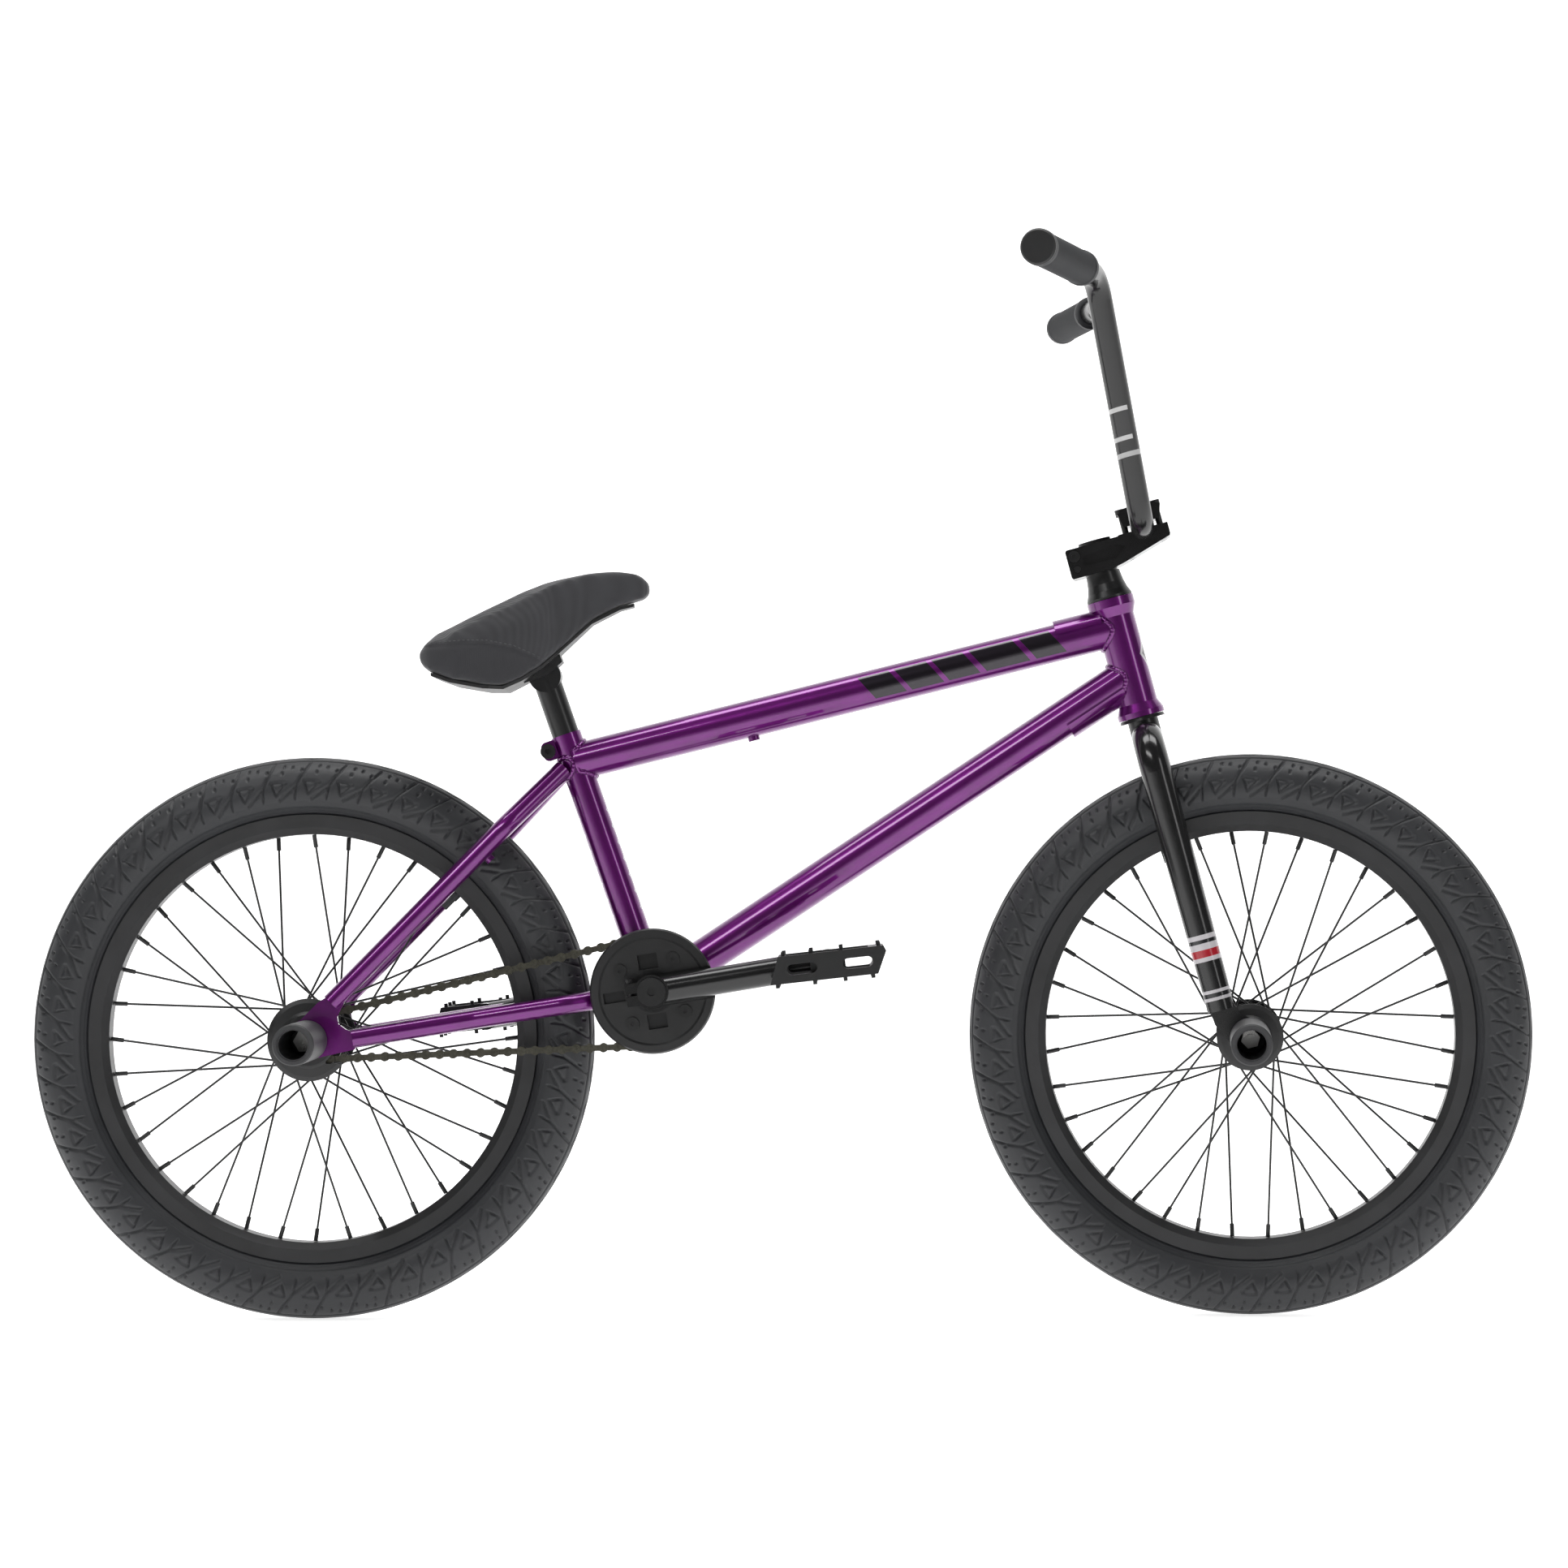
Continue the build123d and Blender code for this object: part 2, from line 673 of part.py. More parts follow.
def inner_link():
    holes = [Pos(x, 0, 0) * Cylinder(1.85, 20) for x in (0, chain_pitch)]
    plates = [link_plate(1.75, 2.85, 4.2), link_plate(-2.85, -1.75, 4.2)]
    rollers = [Pos(x, 0, 0) * Cylinder(roller_radius, 3.3) for x in (0, chain_pitch)]
    return group(*[piece - holes[0] - holes[1] for piece in plates + rollers])


def link_place(index):
    here = pins[index]
    there = pins[(index + 1) % link_count]
    heading = Vector(there[0] - here[0], 0, there[1] - here[1])
    return Plane(origin=(here[0], -chain_line, here[1]), x_dir=heading, z_dir=(0, -1, 0)).location


outer_shape = outer_link()
inner_shape = inner_link()
chain_outer_links = group(*[link_place(index) * outer_shape for index in range(0, link_count, 2)])
chain_inner_links = group(*[link_place(index) * inner_shape for index in range(1, link_count, 2)])


def toothed_disc(teeth, thickness, tip_height, phase):
    """A sprocket disc about the origin in XY, with a roller seat at the phase angle."""
    radius = pitch_radius(teeth)
    disc = Circle(radius + tip_height)
    for index in range(teeth):
        angle = degrees(phase) + index * 360 / teeth
        seat = Pos(radius, 0) * Circle(roller_radius + 0.25)
        mouth = Polygon((radius, -4.1), (radius, 4.1), (radius + 4, 7.1), (radius + 4, -7.1), align=None)
        disc = disc - Rot(0, 0, angle) * seat - Rot(0, 0, angle) * mouth
    return Pos(0, 0, -thickness / 2) * extrude(disc, thickness)


drive_plane = Rot(90, 0, 0)  # XY of a sprocket onto XZ of the bike, +Z of the sprocket to -Y


def pins_on(centre, pitch_radius):
    # the chain pins that lie on a pitch circle
    return [pin for pin in pins if abs(hypot(pin[0] - centre.X, pin[1] - centre.Z) - pitch_radius) < 0.01]


engaged_sprocket = pins_on(bracket, sprocket_pitch)
engaged_driver = pins_on(rear_axle, driver_pitch)
sprocket_pin = engaged_sprocket[len(engaged_sprocket) // 2]
driver_pin = engaged_driver[len(engaged_driver) // 2]
sprocket_phase = atan2(sprocket_pin[1] - bracket.Z, sprocket_pin[0] - bracket.X)
driver_phase = atan2(driver_pin[1] - rear_axle.Z, driver_pin[0] - rear_axle.X)

guard_bolt_circle = 35.5
guard_bolt_places = [
    Rot(0, 0, 90 * index + 49 + crank_rest_deg) * Pos(guard_bolt_circle, 0, 0) for index in range(4)
]
sprocket_disc = toothed_disc(sprocket_teeth, 2.9, 2.6, sprocket_phase)
sprocket_body = sprocket_disc + Cylinder(45.5, 6.0) - Cylinder(spindle_radius + 0.02, 40)
for place in guard_bolt_places:
    sprocket_body = sprocket_body - place * Cylinder(2.6, 40)
sprocket = Pos(bracket.X, -chain_line, bracket.Z) * drive_plane * sprocket_body


def driver():
    """The nine-tooth driver: its cog, and the sleeve that turns on the axle."""
    cog = toothed_disc(driver_teeth, 2.9, 2.4, driver_phase)
    sleeve_bore = rear_axle_radius + running_fit
    sleeve = lathe((sleeve_bore, -8.6), (14, -8.6), (14, 4.3), (sleeve_bore, 4.3))
    return Part() + cog - Cylinder(13, 10) + sleeve


rear_driver = Pos(rear_axle.X, -chain_line, rear_axle.Z) * drive_plane * driver()


# ---------------------------------------------------------------- crank set
# Made about the spindle, with the right arm along +X, then turned to its place.
def about_spindle(shape):
    return crank_frame * shape


def crank_arm(side):
    """A tubular arm with a clamping boss on the spindle and a threaded boss for the pedal."""
    y = side * crank_plane
    boss = Pos(0, y, 0) * across * Cylinder(15.8, 25.4)
    arm = rod(Vector(10, y, 0), Vector(crank_length - 4, y, 0), crank_tube_radius)
    tip = Pos(crank_length, y, 0) * across * Cylinder(12.6, 25.4)
    ears = Pos(-17, y, 0) * Box(14, 20, 21)
    solid = Part() + boss + arm + tip + ears
    hollow = rod(Vector(19, y, 0), Vector(crank_length - 14, y, 0), crank_tube_radius - 2.2)
    bore = Pos(0, y, 0) * across * Cylinder(spindle_radius + 0.02, 60)
    slit = Pos(-19, y, 0) * Box(20, 40, 2.2)
    thread = Pos(crank_length, y, 0) * across * Cylinder(7.15, 60)
    pinch = Pos(-19.5, y, 0) * Cylinder(2.6, 60)
    turn = Rot(0, 0 if side < 0 else 180, 0)
    return about_spindle(turn * (solid - hollow - bore - slit - thread - pinch))


right_crank_arm = crank_arm(right)
left_crank_arm = crank_arm(left)
spindle = about_spindle(across * (Cylinder(spindle_radius, 2 * spindle_half) - Cylinder(6.5, 200)))


def crank_bolt(side):
    """The cap bolt in the spindle end and the pinch bolt of that arm."""
    outward = Rot(90 if side < 0 else -90, 0, 0)
    cap = outward * Pos(0, 0, spindle_half + 0.1) * hexagon_bolt(6.4, 13.2, 20, 4, 4.0)
    pinch = Pos(-19.5, side * crank_plane, 10.6) * hexagon_bolt(2.5, 4.2, 21, 4, 2.2)
    turn = Rot(0, 0 if side < 0 else 180, 0)
    return about_spindle(turn * group(cap, pinch))


crank_bolts = both_sides(crank_bolt)


def spindle_spacer(side):
    """Fills the spindle between the bearing and the sprocket, or the bearing and the left arm."""
    far = chain_line - 3.1 if side < 0 else crank_plane - 12.8
    ring = lathe((spindle_radius + 0.02, 34.4), (14.5, 34.4), (14.5, far), (spindle_radius + 0.02, far))
    return Pos(*bracket) * Rot(90 if side < 0 else -90, 0, 0) * ring


spindle_spacers = both_sides(spindle_spacer)


def sprocket_guard():
    """The round bash guard outside the sprocket, with a channel for the arm and three windows."""
    face = chain_line + 3.1
    profile = [
        (12.5, face + 0.1),
        (45.2, face + 0.1),
        (45.2, face + 2.0),
        (guard_radius - 0.5, face + 2.0),
        (guard_radius, face + 2.5),
        (guard_radius - 1.5, face + 5.4),
        (50.5, face + 5.6),
        (48.5, face + 4.4),
        (20, face + 4.4),
        (12.5, face + 3.6),
    ]
    body = turned(*profile)
    for turn, reach, width, height in ((180, 36, 20, 10), (90, 28, 14, 18), (270, 28, 14, 18)):
        body = body - Rot(0, turn, 0) * Pos(reach, -face, 0) * Box(width, 40, height)
    channel = Pos(36, -face - 7.3, 0) * Box(60, 8, 30)
    body = body - channel
    for index in range(4):
        place = Rot(0, -(90 * index + 49), 0) * Pos(guard_bolt_circle, 0, 0)
        body = body - place * across * Cylinder(2.6, 200)
    return about_spindle(body)


guard = sprocket_guard()


def guard_bolt(index):
    place = Rot(0, -(90 * index + 49), 0) * Pos(guard_bolt_circle, -chain_line - 7.6, 0) * across
    return about_spindle(place * hexagon_bolt(2.5, 6.2, 10.4, 2.2, 1.8))


guard_bolts = group(*[guard_bolt(index) for index in range(4)])


def pedal_axle(side):
    """Screwed into the arm's boss and stepped down inside the pedal."""
    reach = crank_plane + 12.75
    steps = [(0, crank_plane - 11), (7.1, crank_plane - 11), (7.1, reach), (8.5, reach), (8.5, reach + 2.5)]
    axle_end = pedal_inner + pedal_width - 12
    steps += [(5.5, reach + 2.5), (5.5, axle_end), (0, axle_end)]
    shaft = Rot(90 if side < 0 else -90, 0, 0) * lathe(*steps)
    return about_spindle(Rot(0, 0 if side < 0 else 180, 0) * Pos(crank_length, 0, 0) * shaft)


pedal_axles = both_sides(pedal_axle)


def pedal(side):
    """A moulded platform pedal: a slanted hollow body, a bearing barrel and moulded pins."""
    half = pedal_length / 2
    high = pedal_height / 2
    lean = pedal_slant / 2
    corners = [(-half + lean, high), (half + lean - 2, high), (half + lean, high - 5)]
    corners += [(half - lean, -high), (-half - lean, -high)]
    width = pedal_width
    body = plate(corners, 0, width)
    wall = 11.0
    for low, top in ((-half + 11, -15.5), (15.5, half - 11)):
        body = body - Pos((low + top) / 2, width / 2, 0) * Box(top - low, width - 2 * wall, 60)
        mouth = SlotOverall(27, 9.5)
        middle_of_slot = -23.5 if low < 0 else 27.0
        body = body - Pos(middle_of_slot, 0, -0.5) * Rot(90, 0, 0) * extrude(mouth, 300, both=True)
    middle = Pos(0, width / 2, 0) * Box(31.5, width - 2 * wall, 19)
    body = body - Pos(0, width / 2, 0) * Box(31.5, width - 2 * wall, 60) + middle
    for y in (8, width / 2, width - 8):
        for across_top in (4.6, 29.7, 57.2, 91.0):
            if y == width / 2 and 20 < across_top < 70:
                continue
            pin = Solid.make_cylinder(1.8, 7)
            body = body + Pos(-half + lean + across_top, y, high - 3.5) * pin
            body = body + Pos(half - lean - across_top, y, -high - 3.5) * pin
    bore = Rot(-90, 0, 0) * Solid.make_cylinder(5.5 + running_fit, width - 9)
    mouth = Rot(-90, 0, 0) * Solid.make_cylinder(9.0, 3)
    place = Pos(0, pedal_inner, 0)
    outward = Part() + place * (body - bore - mouth)
    return outward if side > 0 else mirror(outward, Plane.XZ)


def pedal_place(side):
    heading = crank_rest_deg if side < 0 else crank_rest_deg + 180
    centre = bracket + Vector(cos(radians(heading)), 0, sin(radians(heading))) * crank_length
    return Pos(*centre) * Rot(0, -pedal_rest_deg, 0)


right_pedal = pedal_place(right) * pedal(right)
left_pedal = pedal_place(left) * pedal(left)

# ---------------------------------------------------------------- seat post and seat
post_bottom = seat_tube_length - post_insertion
post_base = Plane.XY.offset(post_bottom)
post_length = saddle_pivot_height - post_bottom
post_body = Solid.make_cylinder(post_radius, post_length - 4, post_base)
post_hollow = Solid.make_cylinder(post_radius - 2.4, post_length - 24, post_base)
post_head = Pos(0, 0, saddle_pivot_height) * across * Cylinder(saddle_pivot_radius, 25)
bolt_hole = Pos(0, 0, saddle_pivot_height) * Cylinder(4.1, 60)
seat_post = seat_frame * (Part() + post_body + post_head - post_hollow - bolt_hole)
washer_gap = 10.0
seat_bolt_seat = saddle_pivot_height + saddle_pivot_radius + washer_gap
seat_bolt = seat_frame * Pos(0, 0, seat_bolt_seat) * hexagon_bolt(4.0, 7.5, 40, 6, 3.5)

# The seat's side view, in (x, z) from the bike's origin, and its plan, in (x, half width).
seat_crown = [
    (-118.8, 680),
    (-121.5, 690),
    (-131, 697.6),
    (-152, 701),
    (-175, 699.5),
    (-199, 694),
    (-237, 677.6),
    (-267, 661.7),
    (-305, 642),
    (-332, 630),
    (-340, 621),
]
seat_floor = [
    (-334, 607),
    (-306, 597),
    (-275.5, 591.5),
    (-257, 591),
    (-240, 599),
    (-222, 611),
    (-198, 633),
    (-176, 653),
    (-150, 666),
    (-124, 672.5),
]
seat_plan = [
    (-118.5, 0),
    (-120, 9),
    (-128, 16.5),
    (-150, 19),
    (-180, 22),
    (-210, 30),
    (-240, 46),
    (-270, 61),
    (-300, 68),
    (-325, 66),
    (-338, 54),
    (-341, 30),
    (-341.2, 0),
]
base_thickness = 3.4


def seat_slab(upper, lower):
    return plate(upper + lower, -90, 90)


def seat_outline(inset):
    half = [(x, max(width - inset, 0)) for x, width in seat_plan]
    mirrored = [(x, -width) for x, width in reversed(half[1:-1])]
    outline = Polyline(*half, *mirrored, close=True)
    return Pos(0, 0, 500) * extrude(make_face(outline), 300)


lowered = [(x, z - base_thickness) for x, z in seat_floor]
pocket_frame = Pos(saddle_pivot.X, 0, saddle_pivot.Z) * Rot(0, -(90 - seat_angle), 0)
bolt_pocket = pocket_frame * Pos(0, 0, saddle_pivot_radius + washer_gap + 4) * Box(34, 22, 22)
access_hole = pocket_frame * Solid.make_cylinder(6, 120)
seat_block = pocket_frame * Pos(0, 0, 11) * Box(40, 30, 22)
seat_cover = Part() + seat_slab(seat_crown, seat_floor) & seat_outline(0)
block_pocket = pocket_frame * Pos(0, 0, 11) * Box(40.6, 30.6, 22.6)
seat_cover = cut(group(seat_cover), block_pocket, bolt_pocket, access_hole)
swing_room = pocket_frame * across * Cylinder(saddle_pivot_radius + 0.35, 25.6)
post_room = pocket_frame * Pos(0, 0, -20) * Box(34, 27, 40)
bolt_slot = pocket_frame * Pos(0, 0, 20) * Box(20, 8.6, 60)
under_cover = [(x, z - 0.3) for x, z in reversed(seat_floor)]
tray_limit = Pos(-230, 0, 640) * Box(186, 200, 200)
seat_tray = Part() + seat_slab(under_cover, lowered) & seat_outline(6) & tray_limit
below_cover = [(x, z - 13) for x, z in seat_floor]
seat_block = Part() + seat_block & seat_slab(seat_crown, below_cover)
seat_base = cut(group(Part() + seat_tray + seat_block), swing_room, post_room, bolt_slot)

# ---------------------------------------------------------------- fork, in the steering frame
steerer_bore = steerer_radius - 2.5
steerer = lathe((steerer_bore, -26), (steerer_radius, -26), (steerer_radius, steerer_top), (steerer_bore, steerer_top))
race = lathe((steerer_radius, -3.4), (21.4, -3.4), (20.6, -0.4), (steerer_radius, -0.4))
fork_steerer = steer_frame * group(steerer, race)
steerer_solid = rod(Vector(0, 0, -26.3), Vector(0, 0, steerer_top), steerer_radius)
leg_bottom = fork_length - 32.0


def fork_dropout_plate(side):
    low = front_hub_half if side > 0 else -front_hub_half - dropout_plate
    near = -fork_length
    outline = [(-10.5, -leg_bottom + 10), (10.5, -leg_bottom + 10), (17, near + 23)]
    outline += [(fork_offset + 12, near + 13), (fork_offset + 17, near), (fork_offset + 12, near - 14)]
    outline += [(fork_offset - 12, near - 14), (2, near - 3), (-9, near + 20)]
    body = plate(outline, low, low + dropout_plate)
    round_end = Pos(fork_offset, low, near) * Rot(-90, 0, 0) * Solid.make_cylinder(17, dropout_plate)
    slot_radius = front_axle_radius + 0.1
    slot = Pos(fork_offset, low - 1, near) * Rot(-90, 0, 0) * Solid.make_cylinder(slot_radius, 20)
    slot_back = fork_offset - 4.86
    slot_front = fork_offset + 4.86
    mouth = plate(
        [(slot_back, near), (slot_front, near), (slot_front, near - 40), (slot_back, near - 40)],
        low - 1,
        low + 20,
    )
    return Part() + body + round_end - slot - mouth


fork_dropouts_local = both_sides(fork_dropout_plate)


def fork_leg(side):
    """A leg that leaves the steerer sideways, bends down and tapers to the dropout."""
    y = side * leg_spread
    knee = Vector(0, y, -70)
    foot = Vector(0, y, -leg_bottom)
    crown_path = [Vector(0, 0.05 * side, -crown_drop), Vector(0, y, -crown_drop), knee]
    bend = bent_tube(crown_path, 33, steerer_radius, steerer_radius - 1.5)
    lower = taper(knee, foot, steerer_radius, leg_tip_radius)
    hollow = taper(knee, foot + Vector(0, 0, 6), steerer_radius - 1.5, leg_tip_radius - 1.5)
    return cut(group(Part() + bend + (lower - hollow)), steerer_solid, fork_dropouts_local)


fork_legs = steer_frame * both_sides(fork_leg)
fork_dropouts = steer_frame * fork_dropouts_local

headset_spacer = steer_frame * lathe(
    (steerer_radius + 0.02, head_length + 0.5),
    (21.4, head_length + 0.5),
    (21.4, head_length + 2.5),
    (19.0, head_length + 8),
    (17.2, head_length + 15),
    (16.2, head_length + 23),
    (16.0, 139.4),
    (steerer_radius + 0.02, 139.4),
)

# ---------------------------------------------------------------- stem and handlebar
stem_half = 25.0
bar_seat = Pos(stem_reach, 0, stem_height) * across * Cylinder(bar_radius + 0.02, 120)
clamp_bolt_places = [(x, y) for x in (30.6, 63.6) for y in (-15.5, 15.5)]


def stem_body_shape():
    """A solid block stem: pinched on the steerer behind, with the bar seat open on top in front."""
    outline = [(-28.7, 166.0), (-28.7, 141.5), (-27.2, 139.8), (9.7, 139.8), (22, 142.4), (69.6, 156)]
    outline += [(70.6, 158), (70.6, 168.6), (24, 168.6), (22, 167.6), (-27.2, 167.6)]
    body = plate(outline, -stem_half, stem_half)
    body = body - Pos(0, 0, 150) * Cylinder(steerer_radius + 0.02, 80) - bar_seat
    body = body - Pos(-22, 0, 155) * Box(24, 2.4, 60)
    for y in (-stem_half, stem_half):
        groove = [(-14, 158), (19, 161.5), (27, 157.5), (16, 148.5), (-14, 149.5)]
        low = y - 3 if y > 0 else y
        body = body - plate(groove, low, low + 3)
    for height in (160.3, 148.0):
        body = body - Pos(-21.5, 0, height) * across * Cylinder(3.05, 80)
    for x, y in clamp_bolt_places:
        body = body - Pos(x, y, 160) * Cylinder(3.05, 40)
    return body


def stem_clamp_shape():
    outline = [(27.6, 187.5), (30.2, 174.4), (64.4, 174.4), (68.4, 187.5), (60, 191.6), (36, 191.6)]
    body = plate(outline, -22, 22) - bar_seat
    for x, y in clamp_bolt_places:
        body = body - Pos(x, y, 180) * Cylinder(3.05, 60) - Pos(x, y, 192) * Cylinder(5.2, 11)
    return body


def stem_bolt_set():
    bolts = [Pos(x, y, 186.7) * hexagon_bolt(3.0, 5.0, 30, 5, 2.5) for x, y in clamp_bolt_places]
    bolts.append(Pos(-21.5, -stem_half - 0.1, 160.3) * Rot(90, 0, 0) * hexagon_bolt(3.0, 5.3, 44, 2, 2.5))
    bolts.append(Pos(-21.5, stem_half + 0.1, 148.0) * Rot(-90, 0, 0) * hexagon_bolt(3.0, 5.3, 51, 2, 2.5))
    return group(*bolts)


stem_body = steer_frame * stem_body_shape()
stem_top_clamp = steer_frame * stem_clamp_shape()
stem_bolts = steer_frame * stem_bolt_set()
compression_cap = steer_frame * (
    Pos(0, 0, 167.9) * (Part() + Solid.make_cylinder(15.4, 3) - Cylinder(6, 20))
    + Pos(0, 0, 130) * (Part() + Solid.make_cylinder(11.7, 37.9) - Cylinder(6, 90))
)

rise_base = Vector(stem_reach, 52.0, stem_height)
rise_top = Vector(65.5, 140.0, 394.5)
bar_end = Vector(23.1, bar_half_width - 4.2, 407.3)
crossbar_at = 0.62
bar_wall = 1.8


def bar_point(point, side):
    return Vector(point.X, point.Y * side, point.Z)


def handlebar_shape():
    """A four-piece bar: one bent main tube and a straight crossbar."""
    points = [bar_point(p, right) for p in (bar_end, rise_top, rise_base)]
    points += [bar_point(p, left) for p in (rise_base, rise_top, bar_end)]
    main = bent_tube(points, 34, bar_radius, bar_radius - bar_wall)
    solid = bent_tube(points, 34, bar_radius)
    level = rise_base + (rise_top - rise_base) * crossbar_at
    crossbar = rod(bar_point(level, right), bar_point(level, left), 9.5)
    hollow = rod(bar_point(level, right), bar_point(level, left), 9.5 - bar_wall)
    return Part() + main + (crossbar - hollow - solid)


bar_run = (bar_end - rise_top).normalized()


def grip(side):
    """A flangeless grip with a collar at each end, over the bar's end."""
    inner = bar_end - bar_run * grip_length
    along = Vector(bar_run.X, bar_run.Y * side, bar_run.Z)
    frame = Plane(origin=bar_point(inner, side), z_dir=along).location
    bore = bar_radius + 0.03
    collar = grip_radius + 0.8
    outline = [(bore, 0), (grip_radius + 0.4, 0), (collar, 1.2), (collar, 6), (grip_radius, 7.5)]
    outline += [(grip_radius, grip_length - 7.5), (collar, grip_length - 6), (collar, grip_length)]
    outline += [(bore, grip_length)]
    return frame * lathe(*outline)


def bar_plug(side):
    along = Vector(bar_run.X, bar_run.Y * side, bar_run.Z)
    frame = Plane(origin=bar_point(bar_end, side), z_dir=along).location
    stub = bar_radius - bar_wall - 0.05
    flange = grip_radius + 0.6
    outline = [(0, -22), (stub, -22), (stub, 0.1), (flange, 0.1), (flange, 2.6), (grip_radius - 1, 4.0), (0, 4.0)]
    return frame * lathe(*outline)


handlebar = steer_frame * handlebar_shape()
grips = steer_frame * both_sides(grip)
bar_end_plugs = steer_frame * both_sides(bar_plug)

# ---------------------------------------------------------------- export
front_wheel_frame = steer_frame * Pos(*front_axle_local)
rear_wheel_frame = Pos(*rear_axle)
tyre_shape = tyre()

nodes = {
    "head_tube": head_tube,
    "top_tube": top_tube,
    "down_tube": down_tube,
    "seat_tube": seat_tube,
    "bottom_bracket_shell": bottom_bracket_shell,
    "seat_stays": seat_stays,
    "chain_stays": chain_stays,
    "rear_dropouts": rear_dropouts,
    "head_gussets": head_gussets,
    "frame_fittings": frame_fittings,
    "seat_clamp_bolt": seat_clamp_bolt,
    "headset_bearings": headset_bearings,
    "bracket_bearings": bracket_bearings,
    "rear_axle": rear_axle_set,
    "rear_pegs": rear_pegs,
    "rear_hub_guards": rear_hub_guards,
    "chain_outer_links": chain_outer_links,
    "chain_inner_links": chain_inner_links,
    "seat_post": seat_post,
    "seat_bolt": seat_bolt,
    "seat_base": seat_base,
    "seat_cover": seat_cover,
    "fork_steerer": fork_steerer,
    "fork_legs": fork_legs,
    "fork_dropouts": fork_dropouts,
    "headset_spacer": headset_spacer,
    "stem_body": stem_body,
    "stem_top_clamp": stem_top_clamp,
    "stem_bolts": stem_bolts,
    "compression_cap": compression_cap,
    "handlebar": handlebar,
    "grips": grips,
    "bar_end_plugs": bar_end_plugs,
    "front_axle": steer_frame * front_axle_set,
    "front_pegs": steer_frame * front_pegs,
    "front_hub_guards": steer_frame * front_hub_guards,
    "front_tyre": front_wheel_frame * tyre_shape,
    "front_inner_tube": front_wheel_frame * inner_tube(front_valve),
    "front_rim": front_wheel_frame * rim(front_valve),
    "front_spokes": front_wheel_frame * spokes(*front_flanges, front_hole_radius),
    "front_hub": front_wheel_frame * front_hub_shell,
    "front_hub_bearings": front_wheel_frame * hub_bearings(*front_hub_ends, 13.0, front_axle_radius),
    "rear_tyre": rear_wheel_frame * tyre_shape,
    "rear_inner_tube": rear_wheel_frame * inner_tube(rear_valve),
    "rear_rim": rear_wheel_frame * rim(rear_valve),
    "rear_spokes": rear_wheel_frame * spokes(*rear_flanges, rear_hole_radius),
    "rear_hub": rear_wheel_frame * rear_hub_shell,
    "rear_hub_bearings": rear_wheel_frame * hub_bearings(*rear_hub_ends, 16.0, rear_axle_radius),
    "rear_driver": rear_driver,
    "crank_spindle": spindle,
    "right_crank_arm": right_crank_arm,
    "left_crank_arm": left_crank_arm,
    "crank_bolts": crank_bolts,
    "spindle_spacers": spindle_spacers,
    "sprocket": sprocket,
    "sprocket_guard": guard,
    "guard_bolts": guard_bolts,
    "pedal_axles": pedal_axles,
    "right_pedal": right_pedal,
    "left_pedal": left_pedal,
}

os.makedirs("parts", exist_ok=True)
for name, shape in nodes.items():
    solids = shape.solids()
    body = Compound(list(solids)) if len(solids) > 1 else solids[0]
    body.label = name
    export_step(body, f"parts/{name}.step")
print(len(nodes), "nodes written")
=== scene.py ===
import json
import math
import random

import bpy
import numpy as np
from mathutils import Matrix, Vector
from mathutils.bvhtree import BVHTree


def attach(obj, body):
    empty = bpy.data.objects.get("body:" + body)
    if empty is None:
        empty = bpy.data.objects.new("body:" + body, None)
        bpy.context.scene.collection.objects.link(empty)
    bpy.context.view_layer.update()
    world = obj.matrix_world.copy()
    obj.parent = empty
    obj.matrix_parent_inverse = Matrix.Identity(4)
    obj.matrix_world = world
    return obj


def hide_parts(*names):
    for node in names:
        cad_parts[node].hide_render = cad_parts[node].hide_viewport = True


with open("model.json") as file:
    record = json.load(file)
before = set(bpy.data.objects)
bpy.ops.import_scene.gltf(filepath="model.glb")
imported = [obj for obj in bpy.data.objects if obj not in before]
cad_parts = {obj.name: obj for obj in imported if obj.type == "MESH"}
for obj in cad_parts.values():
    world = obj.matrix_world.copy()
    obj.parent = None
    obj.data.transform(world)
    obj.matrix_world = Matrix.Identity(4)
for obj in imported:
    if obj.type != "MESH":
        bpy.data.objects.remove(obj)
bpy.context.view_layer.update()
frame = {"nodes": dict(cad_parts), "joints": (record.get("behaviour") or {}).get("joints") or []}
nodes = frame["nodes"]
print("bike frame loaded:", len(nodes), "nodes")


# shader maths: a wire wraps a socket, and an expression on wires adds its Math nodes
class Wire:
    def __init__(self, tree, socket):
        self.tree = tree
        self.socket = socket

    def maths(self, operation, first, second=None):
        node = self.tree.nodes.new("ShaderNodeMath")
        node.operation = operation
        for slot, value in zip(node.inputs, (first, second)):
            if isinstance(value, Wire):
                self.tree.links.new(value.socket, slot)
            elif value is not None:
                slot.default_value = value
        return Wire(self.tree, node.outputs[0])

    def __add__(self, other):
        return self.maths("ADD", self, other)

    def __sub__(self, other):
        return self.maths("SUBTRACT", self, other)

    def __rsub__(self, other):
        return self.maths("SUBTRACT", other, self)

    def __mul__(self, other):
        return self.maths("MULTIPLY", self, other)

    def __truediv__(self, other):
        return self.maths("DIVIDE", self, other)

    def __lt__(self, other):
        return self.maths("LESS_THAN", self, other)

    def __gt__(self, other):
        return self.maths("GREATER_THAN", self, other)

    def call(self, operation, other=None):
        return self.maths(operation, self, other)


